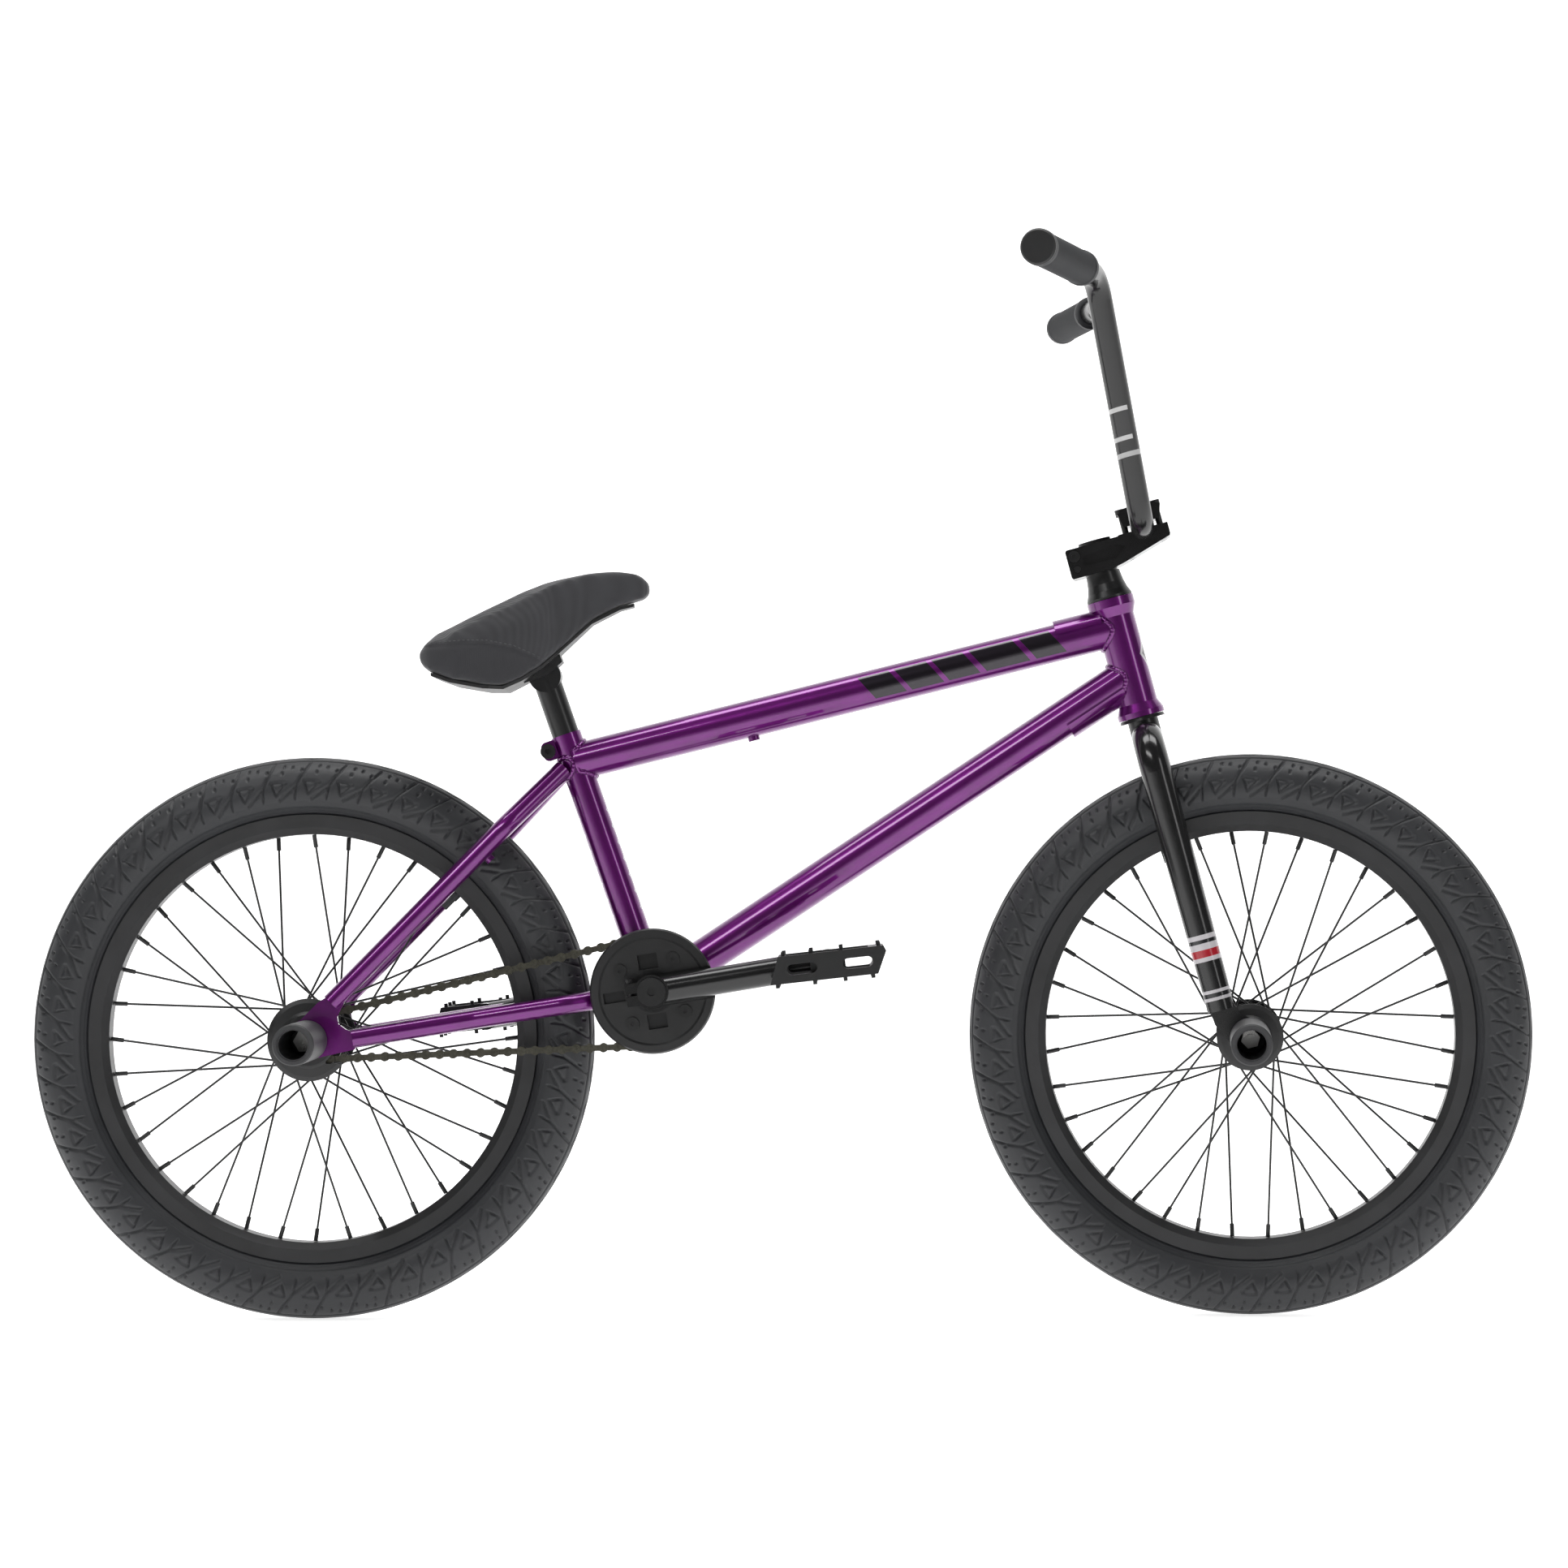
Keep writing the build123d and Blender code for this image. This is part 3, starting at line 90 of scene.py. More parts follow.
class Finish:
    # one material: its tree, its shader, and one method for any node
    def __init__(self, name, **shaderValues):
        self.material = bpy.data.materials.new(name)
        self.material.use_nodes = True
        self.tree = self.material.node_tree
        self.shader = self.tree.nodes["Principled BSDF"]
        for socket, value in shaderValues.items():
            self.shader.inputs[socket.replace("_", " ")].default_value = value

    def node(self, kind, settings=None, sockets=None, out=0):
        made = self.tree.nodes.new(kind)
        for key, value in (settings or {}).items():
            setattr(made, key, value)
        for key, value in (sockets or {}).items():
            if isinstance(value, Wire):
                self.tree.links.new(value.socket, made.inputs[key])
            else:
                made.inputs[key].default_value = value
        return Wire(self.tree, made.outputs[out])

    def place(self):
        return self.node("ShaderNodeTexCoord", out=3)

    def split(self, vector):
        xyz = self.node("ShaderNodeSeparateXYZ", sockets={0: vector}).socket.node
        return [Wire(self.tree, slot) for slot in xyz.outputs]

    def noise(self, scale, detail=3.0, rough=0.5):
        sockets = {"Vector": self.place(), "Scale": scale, "Detail": detail, "Roughness": rough}
        return self.node("ShaderNodeTexNoise", sockets=sockets)

    def mix(self, factor, first, second):
        # the colour sockets of a Mix node are numbers 6 and 7, and its colour comes out of number 2
        return self.node("ShaderNodeMix", {"data_type": "RGBA"}, {0: factor, 6: first, 7: second}, out=2)

    def distance(self, origin, direction):
        # how far each point lies from the origin, measured along the direction
        here = self.node("ShaderNodeVectorMath", {"operation": "SUBTRACT"}, {0: self.place(), 1: origin})
        dot = {"operation": "DOT_PRODUCT"}
        return self.node("ShaderNodeVectorMath", dot, {0: here, 1: direction}, out=1)

    def feed(self, socket, value):
        self.tree.links.new(value.socket, self.shader.inputs[socket])
        return self

    def bump(self, height, strength, distance):
        sockets = {"Height": height, "Strength": strength, "Distance": distance}
        return self.feed("Normal", self.node("ShaderNodeBump", sockets=sockets))


def tint(value, warm=1.0, cool=1.0):
    return (value * warm, value, value * cool, 1.0)


# finishes
framePaint = {"body": (0.16, 0.0, 0.18, 1), "deep": (0.08, 0.0, 0.09, 1), "rough": 0.3, "metal": 0.75}
paleInk = (0.5, 0.48, 0.5, 1)


def candyPaint(name, marks=None):
    # translucent purple over a bright base, under clear coat; marks adds printed shapes
    paint = Finish(name, Metallic=framePaint["metal"], Roughness=framePaint["rough"])
    paint.shader.inputs["Coat Weight"].default_value = 1.0
    paint.shader.inputs["Coat Roughness"].default_value = 0.04
    cloud = paint.noise(38.0, 2.0)
    flake = paint.noise(2600.0, 1.0)
    shade = cloud * 0.7 + flake * 0.3
    colour = paint.mix(shade, framePaint["deep"], framePaint["body"])
    if marks:
        for mask, markColour in marks(paint):
            colour = paint.mix(mask, colour, markColour)
    paint.feed("Base Color", colour)
    orangePeel = paint.noise(260.0, 2.0)
    paint.bump(orangePeel, 0.03, 0.0004)
    return paint.material


def satinBlack(name, level=0.013, rough=0.36, metallic=0.35, grain=900.0, marks=None):
    coat = Finish(name, Metallic=metallic, Coat_Weight=0.1, Coat_Roughness=0.12)
    dust = coat.noise(22.0, 4.0)
    colour = coat.mix(dust, tint(level * 0.8), tint(level * 1.5, 1.0, 1.06))
    for mask, markColour in marks(coat) if marks else []:
        colour = coat.mix(mask, colour, markColour)
    coat.feed("Base Color", colour)
    coat.feed("Roughness", dust * 0.14 + (rough - 0.06))
    return coat.bump(coat.noise(grain, 2.0), 0.08, 0.0002).material


def mouldedPlastic(name, level=0.02, rough=0.55, grain=1500.0):
    plastic = Finish(name)
    cloud = plastic.noise(30.0, 3.0)
    colour = plastic.mix(cloud, tint(level * 0.8, 1.0, 1.05), tint(level * 1.4, 1.0, 1.08))
    plastic.feed("Base Color", colour)
    plastic.feed("Roughness", cloud * 0.12 + (rough - 0.05))
    return plastic.bump(plastic.noise(grain, 2.0), 0.22, 0.0003).material


def bareSteel(name, level=0.4, rough=0.3):
    steel = Finish(name, Metallic=1.0)
    smear = steel.noise(140.0, 4.0)
    steel.feed("Base Color", steel.mix(smear, tint(level * 0.75, 1.02, 0.95), tint(level * 1.15)))
    steel.feed("Roughness", smear * 0.2 + (rough - 0.1))
    return steel.bump(steel.noise(1800.0, 2.0), 0.1, 0.0002).material


def chainSteel(name):
    # oiled plates, with patches worn brighter, spread by noise
    steel = Finish(name, Metallic=0.9)
    grime = steel.noise(420.0, 4.0)
    film = steel.noise(60.0, 2.0)
    oiled = (0.012, 0.0115, 0.009, 1)
    worn = (0.13, 0.125, 0.1, 1)
    steel.feed("Base Color", steel.mix(grime * 0.6 + film * 0.4, oiled, worn))
    steel.feed("Roughness", grime * 0.3 + 0.25)
    return steel.bump(grime, 0.15, 0.0003).material


def rubberSkin(name, level=0.018, rough=0.62, grain=1300.0):
    rubber = Finish(name)
    dust = rubber.noise(18.0, 4.0)
    dark = (level * 0.85, level * 0.9, level, 1)
    pale = (level * 1.6, level * 1.68, level * 1.95, 1)
    rubber.feed("Base Color", rubber.mix(dust, dark, pale))
    rubber.feed("Roughness", dust * 0.16 + (rough - 0.08))
    return rubber.bump(rubber.noise(grain, 3.0), 0.25, 0.0003).material


def wear(node, material):
    mesh = nodes[node].data
    mesh.materials.clear()
    mesh.materials.append(material)


# main points and directions, in metres, from the frame's own joints
joints = {joint["name"]: joint for joint in frame["joints"]}
rearAxle = Vector(joints["rear_wheel_spin"]["pos_m"])
frontAxle = Vector(joints["front_wheel_spin"]["pos_m"])
frontAcross = Vector(joints["front_wheel_spin"]["axis"])
steerUp = Vector(joints["steering"]["axis"])
headBottom = Vector(joints["steering"]["pos_m"])
bracket = Vector(joints["crank_spin"]["pos_m"])
seatUp = Vector(joints["seat_post_height"]["axis"])
acrossBike = Vector((0, 1, 0))
steerForward = frontAcross.cross(steerUp).normalized()
headForward = acrossBike.cross(steerUp).normalized()
topStart = bracket + seatUp * 0.2262
topEnd = headBottom + steerUp * 0.0864
downEnd = headBottom + steerUp * 0.0409


def alongTube(paint, start, end):
    # distance along a tube, height over its middle line, and distance across, in metres
    axis = (end - start).normalized()
    over = acrossBike.cross(axis) * -1
    return [paint.distance(start, way) for way in (axis, over, acrossBike)]


def between(value, low, high):
    return (value > low) * (value < high)


def topTubeMarks(paint):
    # plain slanted blocks on both sides of the tube
    along, high, _ = alongTube(paint, topStart, topEnd)
    slant = along + high * 0.55
    band = between(high, -0.0105, 0.0122)
    blocks = None
    for low, top in ((0.282, 0.312), (0.317, 0.348), (0.353, 0.383), (0.389, 0.431), (0.437, 0.466)):
        piece = between(slant, low, top)
        blocks = piece if blocks is None else blocks + piece
    return [(band * blocks, (0.008, 0.004, 0.01, 1))]


def seatTubeMarks(paint):
    # a column of small lozenges
    column = {"low": 0.07, "top": 0.182, "pitch": 0.016, "outer": 0.0062, "inner": 0.0036}
    along, _, across = alongTube(paint, bracket, bracket + seatUp)
    step = (along - column["low"]).call("MODULO", column["pitch"]) - column["pitch"] / 2
    diamond = step.call("ABSOLUTE") + across.call("ABSOLUTE")
    run = between(along, column["low"], column["top"])
    lozenge = (diamond < column["outer"]) * run
    hollow = (diamond < column["inner"]) * run
    return [(lozenge, (0.42, 0.4, 0.44, 1)), (hollow, (0.05, 0.0, 0.06, 1))]


def headTubeMarks(paint):
    # a plain upright badge shape on the front
    middle = headBottom + steerUp * 0.057
    up, ahead, across = [paint.distance(middle, way) for way in (steerUp, headForward, acrossBike)]
    diamond = up.call("ABSOLUTE") * 0.55 + across.call("ABSOLUTE")
    shield = (diamond < 0.0135) * (ahead > 0)
    inner = (diamond < 0.0105) * (ahead > 0)
    return [(shield, paleInk), (inner, (0.01, 0.006, 0.012, 1))]


def forkMarks(paint):
    # two pale bands with coloured rules round the lower legs
    up = paint.distance(headBottom, steerUp)
    dark = (0.01, 0.01, 0.012, 1)
    return [
        (between(up, -0.235, -0.210), paleInk),
        (between(up, -0.231, -0.224), (0.35, 0.01, 0.02, 1)),
        (between(up, -0.218, -0.2145), dark),
        (between(up, -0.272, -0.262), paleInk),
        (between(up, -0.269, -0.265), dark),
    ]


def barMarks(paint):
    # plain pale labels low on the risers, the upper one with a dark middle
    up = paint.distance(headBottom, steerUp)
    ahead = paint.distance(headBottom, steerForward)
    back = ahead - up * 0.0824 < 0.0395
    panel = between(up, 0.247, 0.277) * back
    inner = between(up, 0.251, 0.273) * back
    rule = between(up, 0.232, 0.2365)
    return [(panel, (0.5, 0.5, 0.5, 1)), (inner, (0.012, 0.012, 0.013, 1)), (rule, (0.4, 0.4, 0.4, 1))]


candy = candyPaint("candyPurple")
black = satinBlack("satinBlackSteel", 0.009, 0.32, 0.2)
glossBlack = satinBlack("glossBlackSteel", 0.006, 0.18, 0.0)
anodised = satinBlack("blackAnodised", 0.014, 0.4, 0.5)
rimBlack = satinBlack("rimBlack", 0.028, 0.42, 0.5)
plastic = mouldedPlastic("blackPlastic", 0.006, 0.42)
pegPlastic = mouldedPlastic("pegPlastic", 0.026, 0.5)
steel = bareSteel("bearingSteel")
spokeBlack = satinBlack("spokeBlack", 0.01, 0.4, 0.2)
chainFinish = chainSteel("chainSteel")
gripRubber = rubberSkin("gripRubber", 0.012, 0.6, 1700.0)
tubeRubber = rubberSkin("tubeRubber", 0.012, 0.5)
tyreRubber = rubberSkin("tyreRubber", 0.0135, 0.5, 1500.0)

for finish, names in (
    (candy, "down_tube bottom_bracket_shell seat_stays chain_stays rear_dropouts head_gussets"),
    (candy, "frame_fittings"),
    (candyPaint("candyTopTube", topTubeMarks), "top_tube"),
    (candyPaint("candySeatTube", seatTubeMarks), "seat_tube"),
    (candyPaint("candyHeadTube", headTubeMarks), "head_tube"),
    (satinBlack("forkBlack", 0.006, 0.18, 0.0, marks=forkMarks), "fork_legs"),
    (satinBlack("barBlack", 0.006, 0.18, 0.0, marks=barMarks), "handlebar"),
    (black, "seat_clamp_bolt fork_steerer headset_spacer compression_cap seat_post"),
    (black, "crank_spindle guard_bolts crank_bolts stem_bolts"),
    (glossBlack, "fork_dropouts right_crank_arm left_crank_arm stem_body stem_top_clamp"),
    (anodised, "sprocket front_hub rear_hub spindle_spacers"),
    (rimBlack, "front_rim rear_rim"),
    (steel, "headset_bearings bracket_bearings front_hub_bearings rear_hub_bearings"),
    (steel, "rear_axle front_axle seat_bolt pedal_axles"),
    (spokeBlack, "front_spokes rear_spokes"),
    (chainFinish, "chain_outer_links chain_inner_links rear_driver"),
    (plastic, "rear_hub_guards front_hub_guards sprocket_guard right_pedal left_pedal"),
    (plastic, "seat_base bar_end_plugs"),
    (pegPlastic, "rear_pegs front_pegs"),
    (gripRubber, "grips"),
    (tubeRubber, "front_inner_tube rear_inner_tube"),
    (tyreRubber, "front_tyre rear_tyre"),
):
    for name in names.split():
        wear(name, finish)
print("finishes made")


def addPiece(name, vertices, faces, material, body, smooth=True, place=None):
    mesh = bpy.data.meshes.new(name)
    mesh.from_pydata([tuple(v) for v in vertices], [], [tuple(f) for f in faces])
    mesh.update()
    if smooth:
        mesh.polygons.foreach_set("use_smooth", [True] * len(mesh.polygons))
    mesh.materials.append(material)
    piece = bpy.data.objects.new(name, mesh)
    bpy.context.collection.objects.link(piece)
    if place is not None:
        piece.matrix_world = place
    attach(piece, body)
    return piece


# tyres: cut tread, shoulder line and sidewall rings
tyreShape = {
    "repeats": 48,
    "stepsPerRepeat": 36,
    "acrossSteps": 108,
    "grooveDepth": 2.1,
    "grooveHalf": 0.95,
    "patternRadius": 256,
    "hairs": 150,
    "hairRadius": 0.32,
}
grooves = [  # (distance round, radius) in mm from the top of the long groove, one pitch
    [(0, 258.5), (-6.5, 249), (-10.5, 243), (-14.5, 236.5), (-16.5, 225)],
    [(-14.5, 236.5), (-32.5, 223.5)],
    [(-39.5, 240.5), (-24.0, 239.6), (-35.5, 229.5), (-39.5, 240.5)],
    [(-25, 256), (-25.6, 254.6)],
    [(-17, 255), (-17.6, 253.6)],
    [(-27, 250), (-27.8, 248.4)],
    [(-8, 252), (-8.8, 250.4)],
]


def arcThrough(first, middle, last, count):
    # points on the circle through three (across, radius) points
    (ax, ay), (bx, by), (cx, cy) = first, middle, last
    d = 2 * (ax * (by - cy) + bx * (cy - ay) + cx * (ay - by))
    a, b, c = ax * ax + ay * ay, bx * bx + by * by, cx * cx + cy * cy
    ux = (a * (by - cy) + b * (cy - ay) + c * (ay - by)) / d
    uy = (a * (cx - bx) + b * (ax - cx) + c * (bx - ax)) / d
    radius = math.hypot(ax - ux, ay - uy)
    angles = np.unwrap([math.atan2(y - uy, x - ux) for x, y in (first, middle, last)])
    sweep = np.linspace(angles[0], angles[2], count)
    return np.stack([ux + radius * np.cos(sweep), uy + radius * np.sin(sweep)], 1)


def segmentDistance(px, py, first, last):
    ax, ay = first
    bx, by = last
    length = max((bx - ax) ** 2 + (by - ay) ** 2, 1e-9)
    t = np.clip(((px - ax) * (bx - ax) + (py - ay) * (by - ay)) / length, 0, 1)
    return np.hypot(px - ax - t * (bx - ax), py - ay - t * (by - ay))


def buildTyre(name, node, body, place):
    half = tyreShape["acrossSteps"] // 2
    outer = np.concatenate([
        arcThrough((-16.2, 210.2), (-30.3, 231.5), (-24.5, 250.9), 30)[:-1],
        arcThrough((-24.5, 250.9), (0, 262.8), (24.5, 250.9), 2 * half - 28)[:-1],
        arcThrough((24.5, 250.9), (30.3, 231.5), (16.2, 210.2), 30),
    ])
    turn = tyreShape["repeats"] * tyreShape["stepsPerRepeat"]
    pitch = 2 * math.pi * tyreShape["patternRadius"] / tyreShape["repeats"]
    tangent = np.gradient(outer, axis=0)
    normal = np.stack([tangent[:, 1], -tangent[:, 0]], 1)
    normal /= np.linalg.norm(normal, axis=1)[:, None]
    normal *= np.sign((normal * (outer - [0, 232])).sum(1))[:, None]
    travel = (-np.arange(turn) * pitch / tyreShape["stepsPerRepeat"]) % pitch
    depth = np.zeros((turn, len(outer)))
    reach = tyreShape["grooveHalf"]
    for run in grooves:
        for first, last in zip(run[:-1], run[1:]):
            for shift in (0, pitch, 2 * pitch):
                ends = (first[0] + shift, first[1]), (last[0] + shift, last[1])
                gap = segmentDistance(travel[:, None], outer[None, :, 1], *ends)
                depth = np.maximum(depth, np.clip(1.35 - gap / reach, 0, 1))
    centre = np.abs(outer[:, 0])
    zig = np.abs((travel[:, None] / pitch - 0.5)) * 2
    chevron = np.abs(centre[None, :] - 2 - zig * 7)
    depth = np.maximum(depth, np.clip(1.3 - chevron / reach, 0, 1) * (centre[None, :] < 10))
    shoulder = np.clip(1.2 - np.abs(outer[:, 1] - 259.4) / 0.6, 0, 1) * 0.8
    rings = np.zeros(len(outer))
    for radius in (212.6, 215.2, 219.8):
        rings = np.maximum(rings, np.clip(1.2 - np.abs(outer[:, 1] - radius) / 0.55, 0, 1) * 0.45)
    depth = np.maximum(depth, np.maximum(shoulder, rings)[None, :]) * tyreShape["grooveDepth"]
    across = outer[None, :, 0] - normal[None, :, 0] * depth
    radii = outer[None, :, 1] - normal[None, :, 1] * depth
    angle = np.arange(turn) * 2 * math.pi / turn
    rows = [[-16.2, 204.0], [-12.0, 204.0], [-12.0, 209.5]], [[12.0, 209.5], [12.0, 204.0], [16.2, 204.0]]
    inner = arcThrough((12.0, 210.4), (0, 256), (-12.0, 210.4), 12)
    closing = np.array(rows[1][::-1] + inner.tolist() + rows[0][::-1])
    across = np.concatenate([across, np.repeat(closing[None, :, 0], turn, 0)], 1)
    radii = np.concatenate([radii, np.repeat(closing[None, :, 1], turn, 0)], 1)
    points = np.stack([radii * np.cos(angle)[:, None], across, radii * np.sin(angle)[:, None]], 2) / 1000
    wide = points.shape[1]
    index = np.arange(turn * wide).reshape(turn, wide)
    nextRow = np.roll(index, -1, 0)
    quads = np.stack([index, np.roll(index, -1, 1), np.roll(nextRow, -1, 1), nextRow], 2).reshape(-1, 4)
    tyre = addPiece(name, points.reshape(-1, 3), quads, tyreRubber, body, place=place)
    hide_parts(node)
    # moulding hairs on the shoulders
    dice = random.Random(20)
    hairs = []
    hairFaces = []
    thick = tyreShape["hairRadius"]
    for _ in range(tyreShape["hairs"]):
        spin = dice.random() * 2 * math.pi
        side = dice.choice((-1, 1))
        base = dice.choice(((26.2, 246.5), (29.4, 236.0), (28.2, 242.0)))
        outward = Vector((math.cos(spin) * 0.7, side * 0.7, math.sin(spin) * 0.7))
        root = Vector((math.cos(spin) * base[1], side * base[0], math.sin(spin) * base[1]))
        bend = Vector((-math.sin(spin), 0, math.cos(spin))) * dice.uniform(-1.0, 1.0)
        tip = root + outward * dice.uniform(0.9, 1.7) + bend
        first = outward.orthogonal().normalized() * thick
        second = outward.cross(first).normalized() * thick
        foot = len(hairs)
        hairs += [root + first, root - first * 0.5 + second, root - first * 0.5 - second, tip]
        hairFaces += [(foot + side, foot + (side + 1) % 3, foot + 3) for side in range(3)]
    hairs = [point / 1000 for point in hairs]
    addPiece(name + "Hairs", hairs, hairFaces, tyreRubber, body, smooth=False, place=place)


def wheelPlace(axle, across):
    up = Vector((0, 0, 1))
    ahead = across.cross(up).normalized()
    up = ahead.cross(across).normalized()
    turned = Matrix((ahead, across, up)).transposed().to_4x4()
    return Matrix.Translation(axle) @ turned


buildTyre("rearTyreTread", "rear_tyre", "rear_wheel", wheelPlace(rearAxle, Vector((0, 1, 0))))
buildTyre("frontTyreTread", "front_tyre", "front_wheel", wheelPlace(frontAxle, frontAcross))
print("tyres cut")


# weld beads: a rippled bead along the line where one round tube meets another
bead = {"radius": 0.0023, "ripple": 0.00045, "pitch": 0.0034, "sides": 8, "spacing": 0.0006}


def ringAround(start, axis, radius, otherPoint, otherAxis, otherRadius, towards):
    # points where the tube from start meets the other tube, on the side that the tube comes from
    axis = axis.normalized()
    otherAxis = otherAxis.normalized()
    first = axis.orthogonal().normalized()
    second = axis.cross(first)
    points = []
    for index in range(240):
        angle = index * math.pi / 120
        base = start + (first * math.cos(angle) + second * math.sin(angle)) * radius - otherPoint
        flatBase = base - otherAxis * base.dot(otherAxis)
        flatAxis = axis - otherAxis * axis.dot(otherAxis)
        a = flatAxis.dot(flatAxis)
        b = 2 * flatAxis.dot(flatBase)
        c = flatBase.dot(flatBase) - otherRadius**2
        root = b * b - 4 * a * c
        if root < 0:
            points.append(None)
            continue
        travel = (-b + towards * math.sqrt(root)) / (2 * a)
        points.append(base + otherPoint + axis * travel)
    return points


def beadAlong(points, closed):
    # one rippled tube along the points
    kept = [p for p in points if p is not None]
    if len(kept) < 4:
        return [], []
    line = [kept[0]]
    for point in kept[1:]:
        if (point - line[-1]).length > bead["spacing"]:
            line.append(point)
    vertices = []
    faces = []
    travelled = 0
    sides = bead["sides"]
    count = len(line)
    for index, point in enumerate(line):
        before = line[index - 1] if index or closed else point
        after = line[(index + 1) % count] if index < count - 1 or closed else point
        along = (after - before).normalized()
        if index:
            travelled += (point - line[index - 1]).length
        across = acrossBike - along * along.y
        first = across.normalized() if across.length > 0.2 else along.orthogonal().normalized()
        second = along.cross(first)
        size = bead["radius"] + bead["ripple"] * abs(math.sin(math.pi * travelled / bead["pitch"]))
        for side in range(sides):
            turn = side * 2 * math.pi / sides
            vertices.append(point + (first * math.cos(turn) + second * math.sin(turn)) * size)
    rings = count if closed else count - 1
    for index in range(rings):
        here = index * sides
        there = (index + 1) % count * sides
        for side in range(sides):
            after = (side + 1) % sides
            faces.append((here + side, here + after, there + after, there + side))
    return vertices, faces


def weldPiece(name, runs, body):
    vertices = []
    faces = []
    for points, closed in runs:
        v, f = beadAlong(points, closed)
        faces += [[i + len(vertices) for i in face] for face in f]
        vertices += v
    addPiece(name, vertices, faces, candy, body)


tube = {"main": 0.01745, "head": 0.0185, "seat": 0.0143, "shell": 0.025, "stay": 0.0091}
topAxis = (topEnd - topStart).normalized()
downAxis = (downEnd - bracket).normalized()
frameWelds = [
    (ringAround(topStart, topAxis, tube["main"], headBottom, steerUp, tube["head"], -1), True),
    (ringAround(bracket, downAxis, tube["main"], headBottom, steerUp, tube["head"], -1), True),
    (ringAround(topStart, topAxis, tube["main"], bracket, seatUp, tube["seat"], 1), True),
    (ringAround(bracket, seatUp, tube["seat"], bracket, acrossBike, tube["shell"], 1), True),
    (ringAround(bracket, downAxis, tube["main"], bracket, acrossBike, tube["shell"], 1), True),
]


def outsideSeatTube(point):
    return abs(point.y) > 0.004 and (point - bracket).cross(seatUp).length > 0.0135


stayFoot = rearAxle + Vector((0.022, 0, 0.0344))
stayRise = Vector((0.7014, 0, 0.7128))
for side in (-1, 1):
    shoulder = stayFoot + stayRise * 0.2307 + acrossBike * side * 0.0435
    top = stayFoot + stayRise * 0.3027 + acrossBike * side * 0.0102
    ring = ringAround(shoulder, top - shoulder, tube["stay"], bracket, seatUp, tube["seat"], -1)
    frameWelds.append(([point for point in ring if point is not None and outsideSeatTube(point)], False))
weldPiece("frameWelds", frameWelds, "frame")
print("welds laid")


# seat cover: a stuffed cover with a ribbed top, a sewn side seam and stitches
seat = {
    "voxel": 0.0042,
    "shrink": 0.0016,
    "pressure": 3.0,
    "frames": 16,
    "cap": 0.0045,
    "spare": 0.001,
    "seamDepth": 0.0011,
    "seamHalf": 0.0032,
    "stitch": 0.0042,
    "thread": 0.00055,
    "rib": 0.0034,
    "weave": 0.0016,
}
seamLine = [
    (-0.331, 0.6262),
    (-0.313, 0.6272),
    (-0.292, 0.6288),
    (-0.272, 0.6291),
    (-0.248, 0.6248),
    (-0.2315, 0.618),
    (-0.216, 0.6105),
]


def seamHeight(x):
    xs = [p[0] for p in seamLine]
    zs = [p[1] for p in seamLine]
    return np.interp(x, xs, zs)


def applyModifiers(piece):
    graph = bpy.context.evaluated_depsgraph_get()
    done = bpy.data.meshes.new_from_object(piece.evaluated_get(graph))
    piece.modifiers.clear()
    piece.data = done


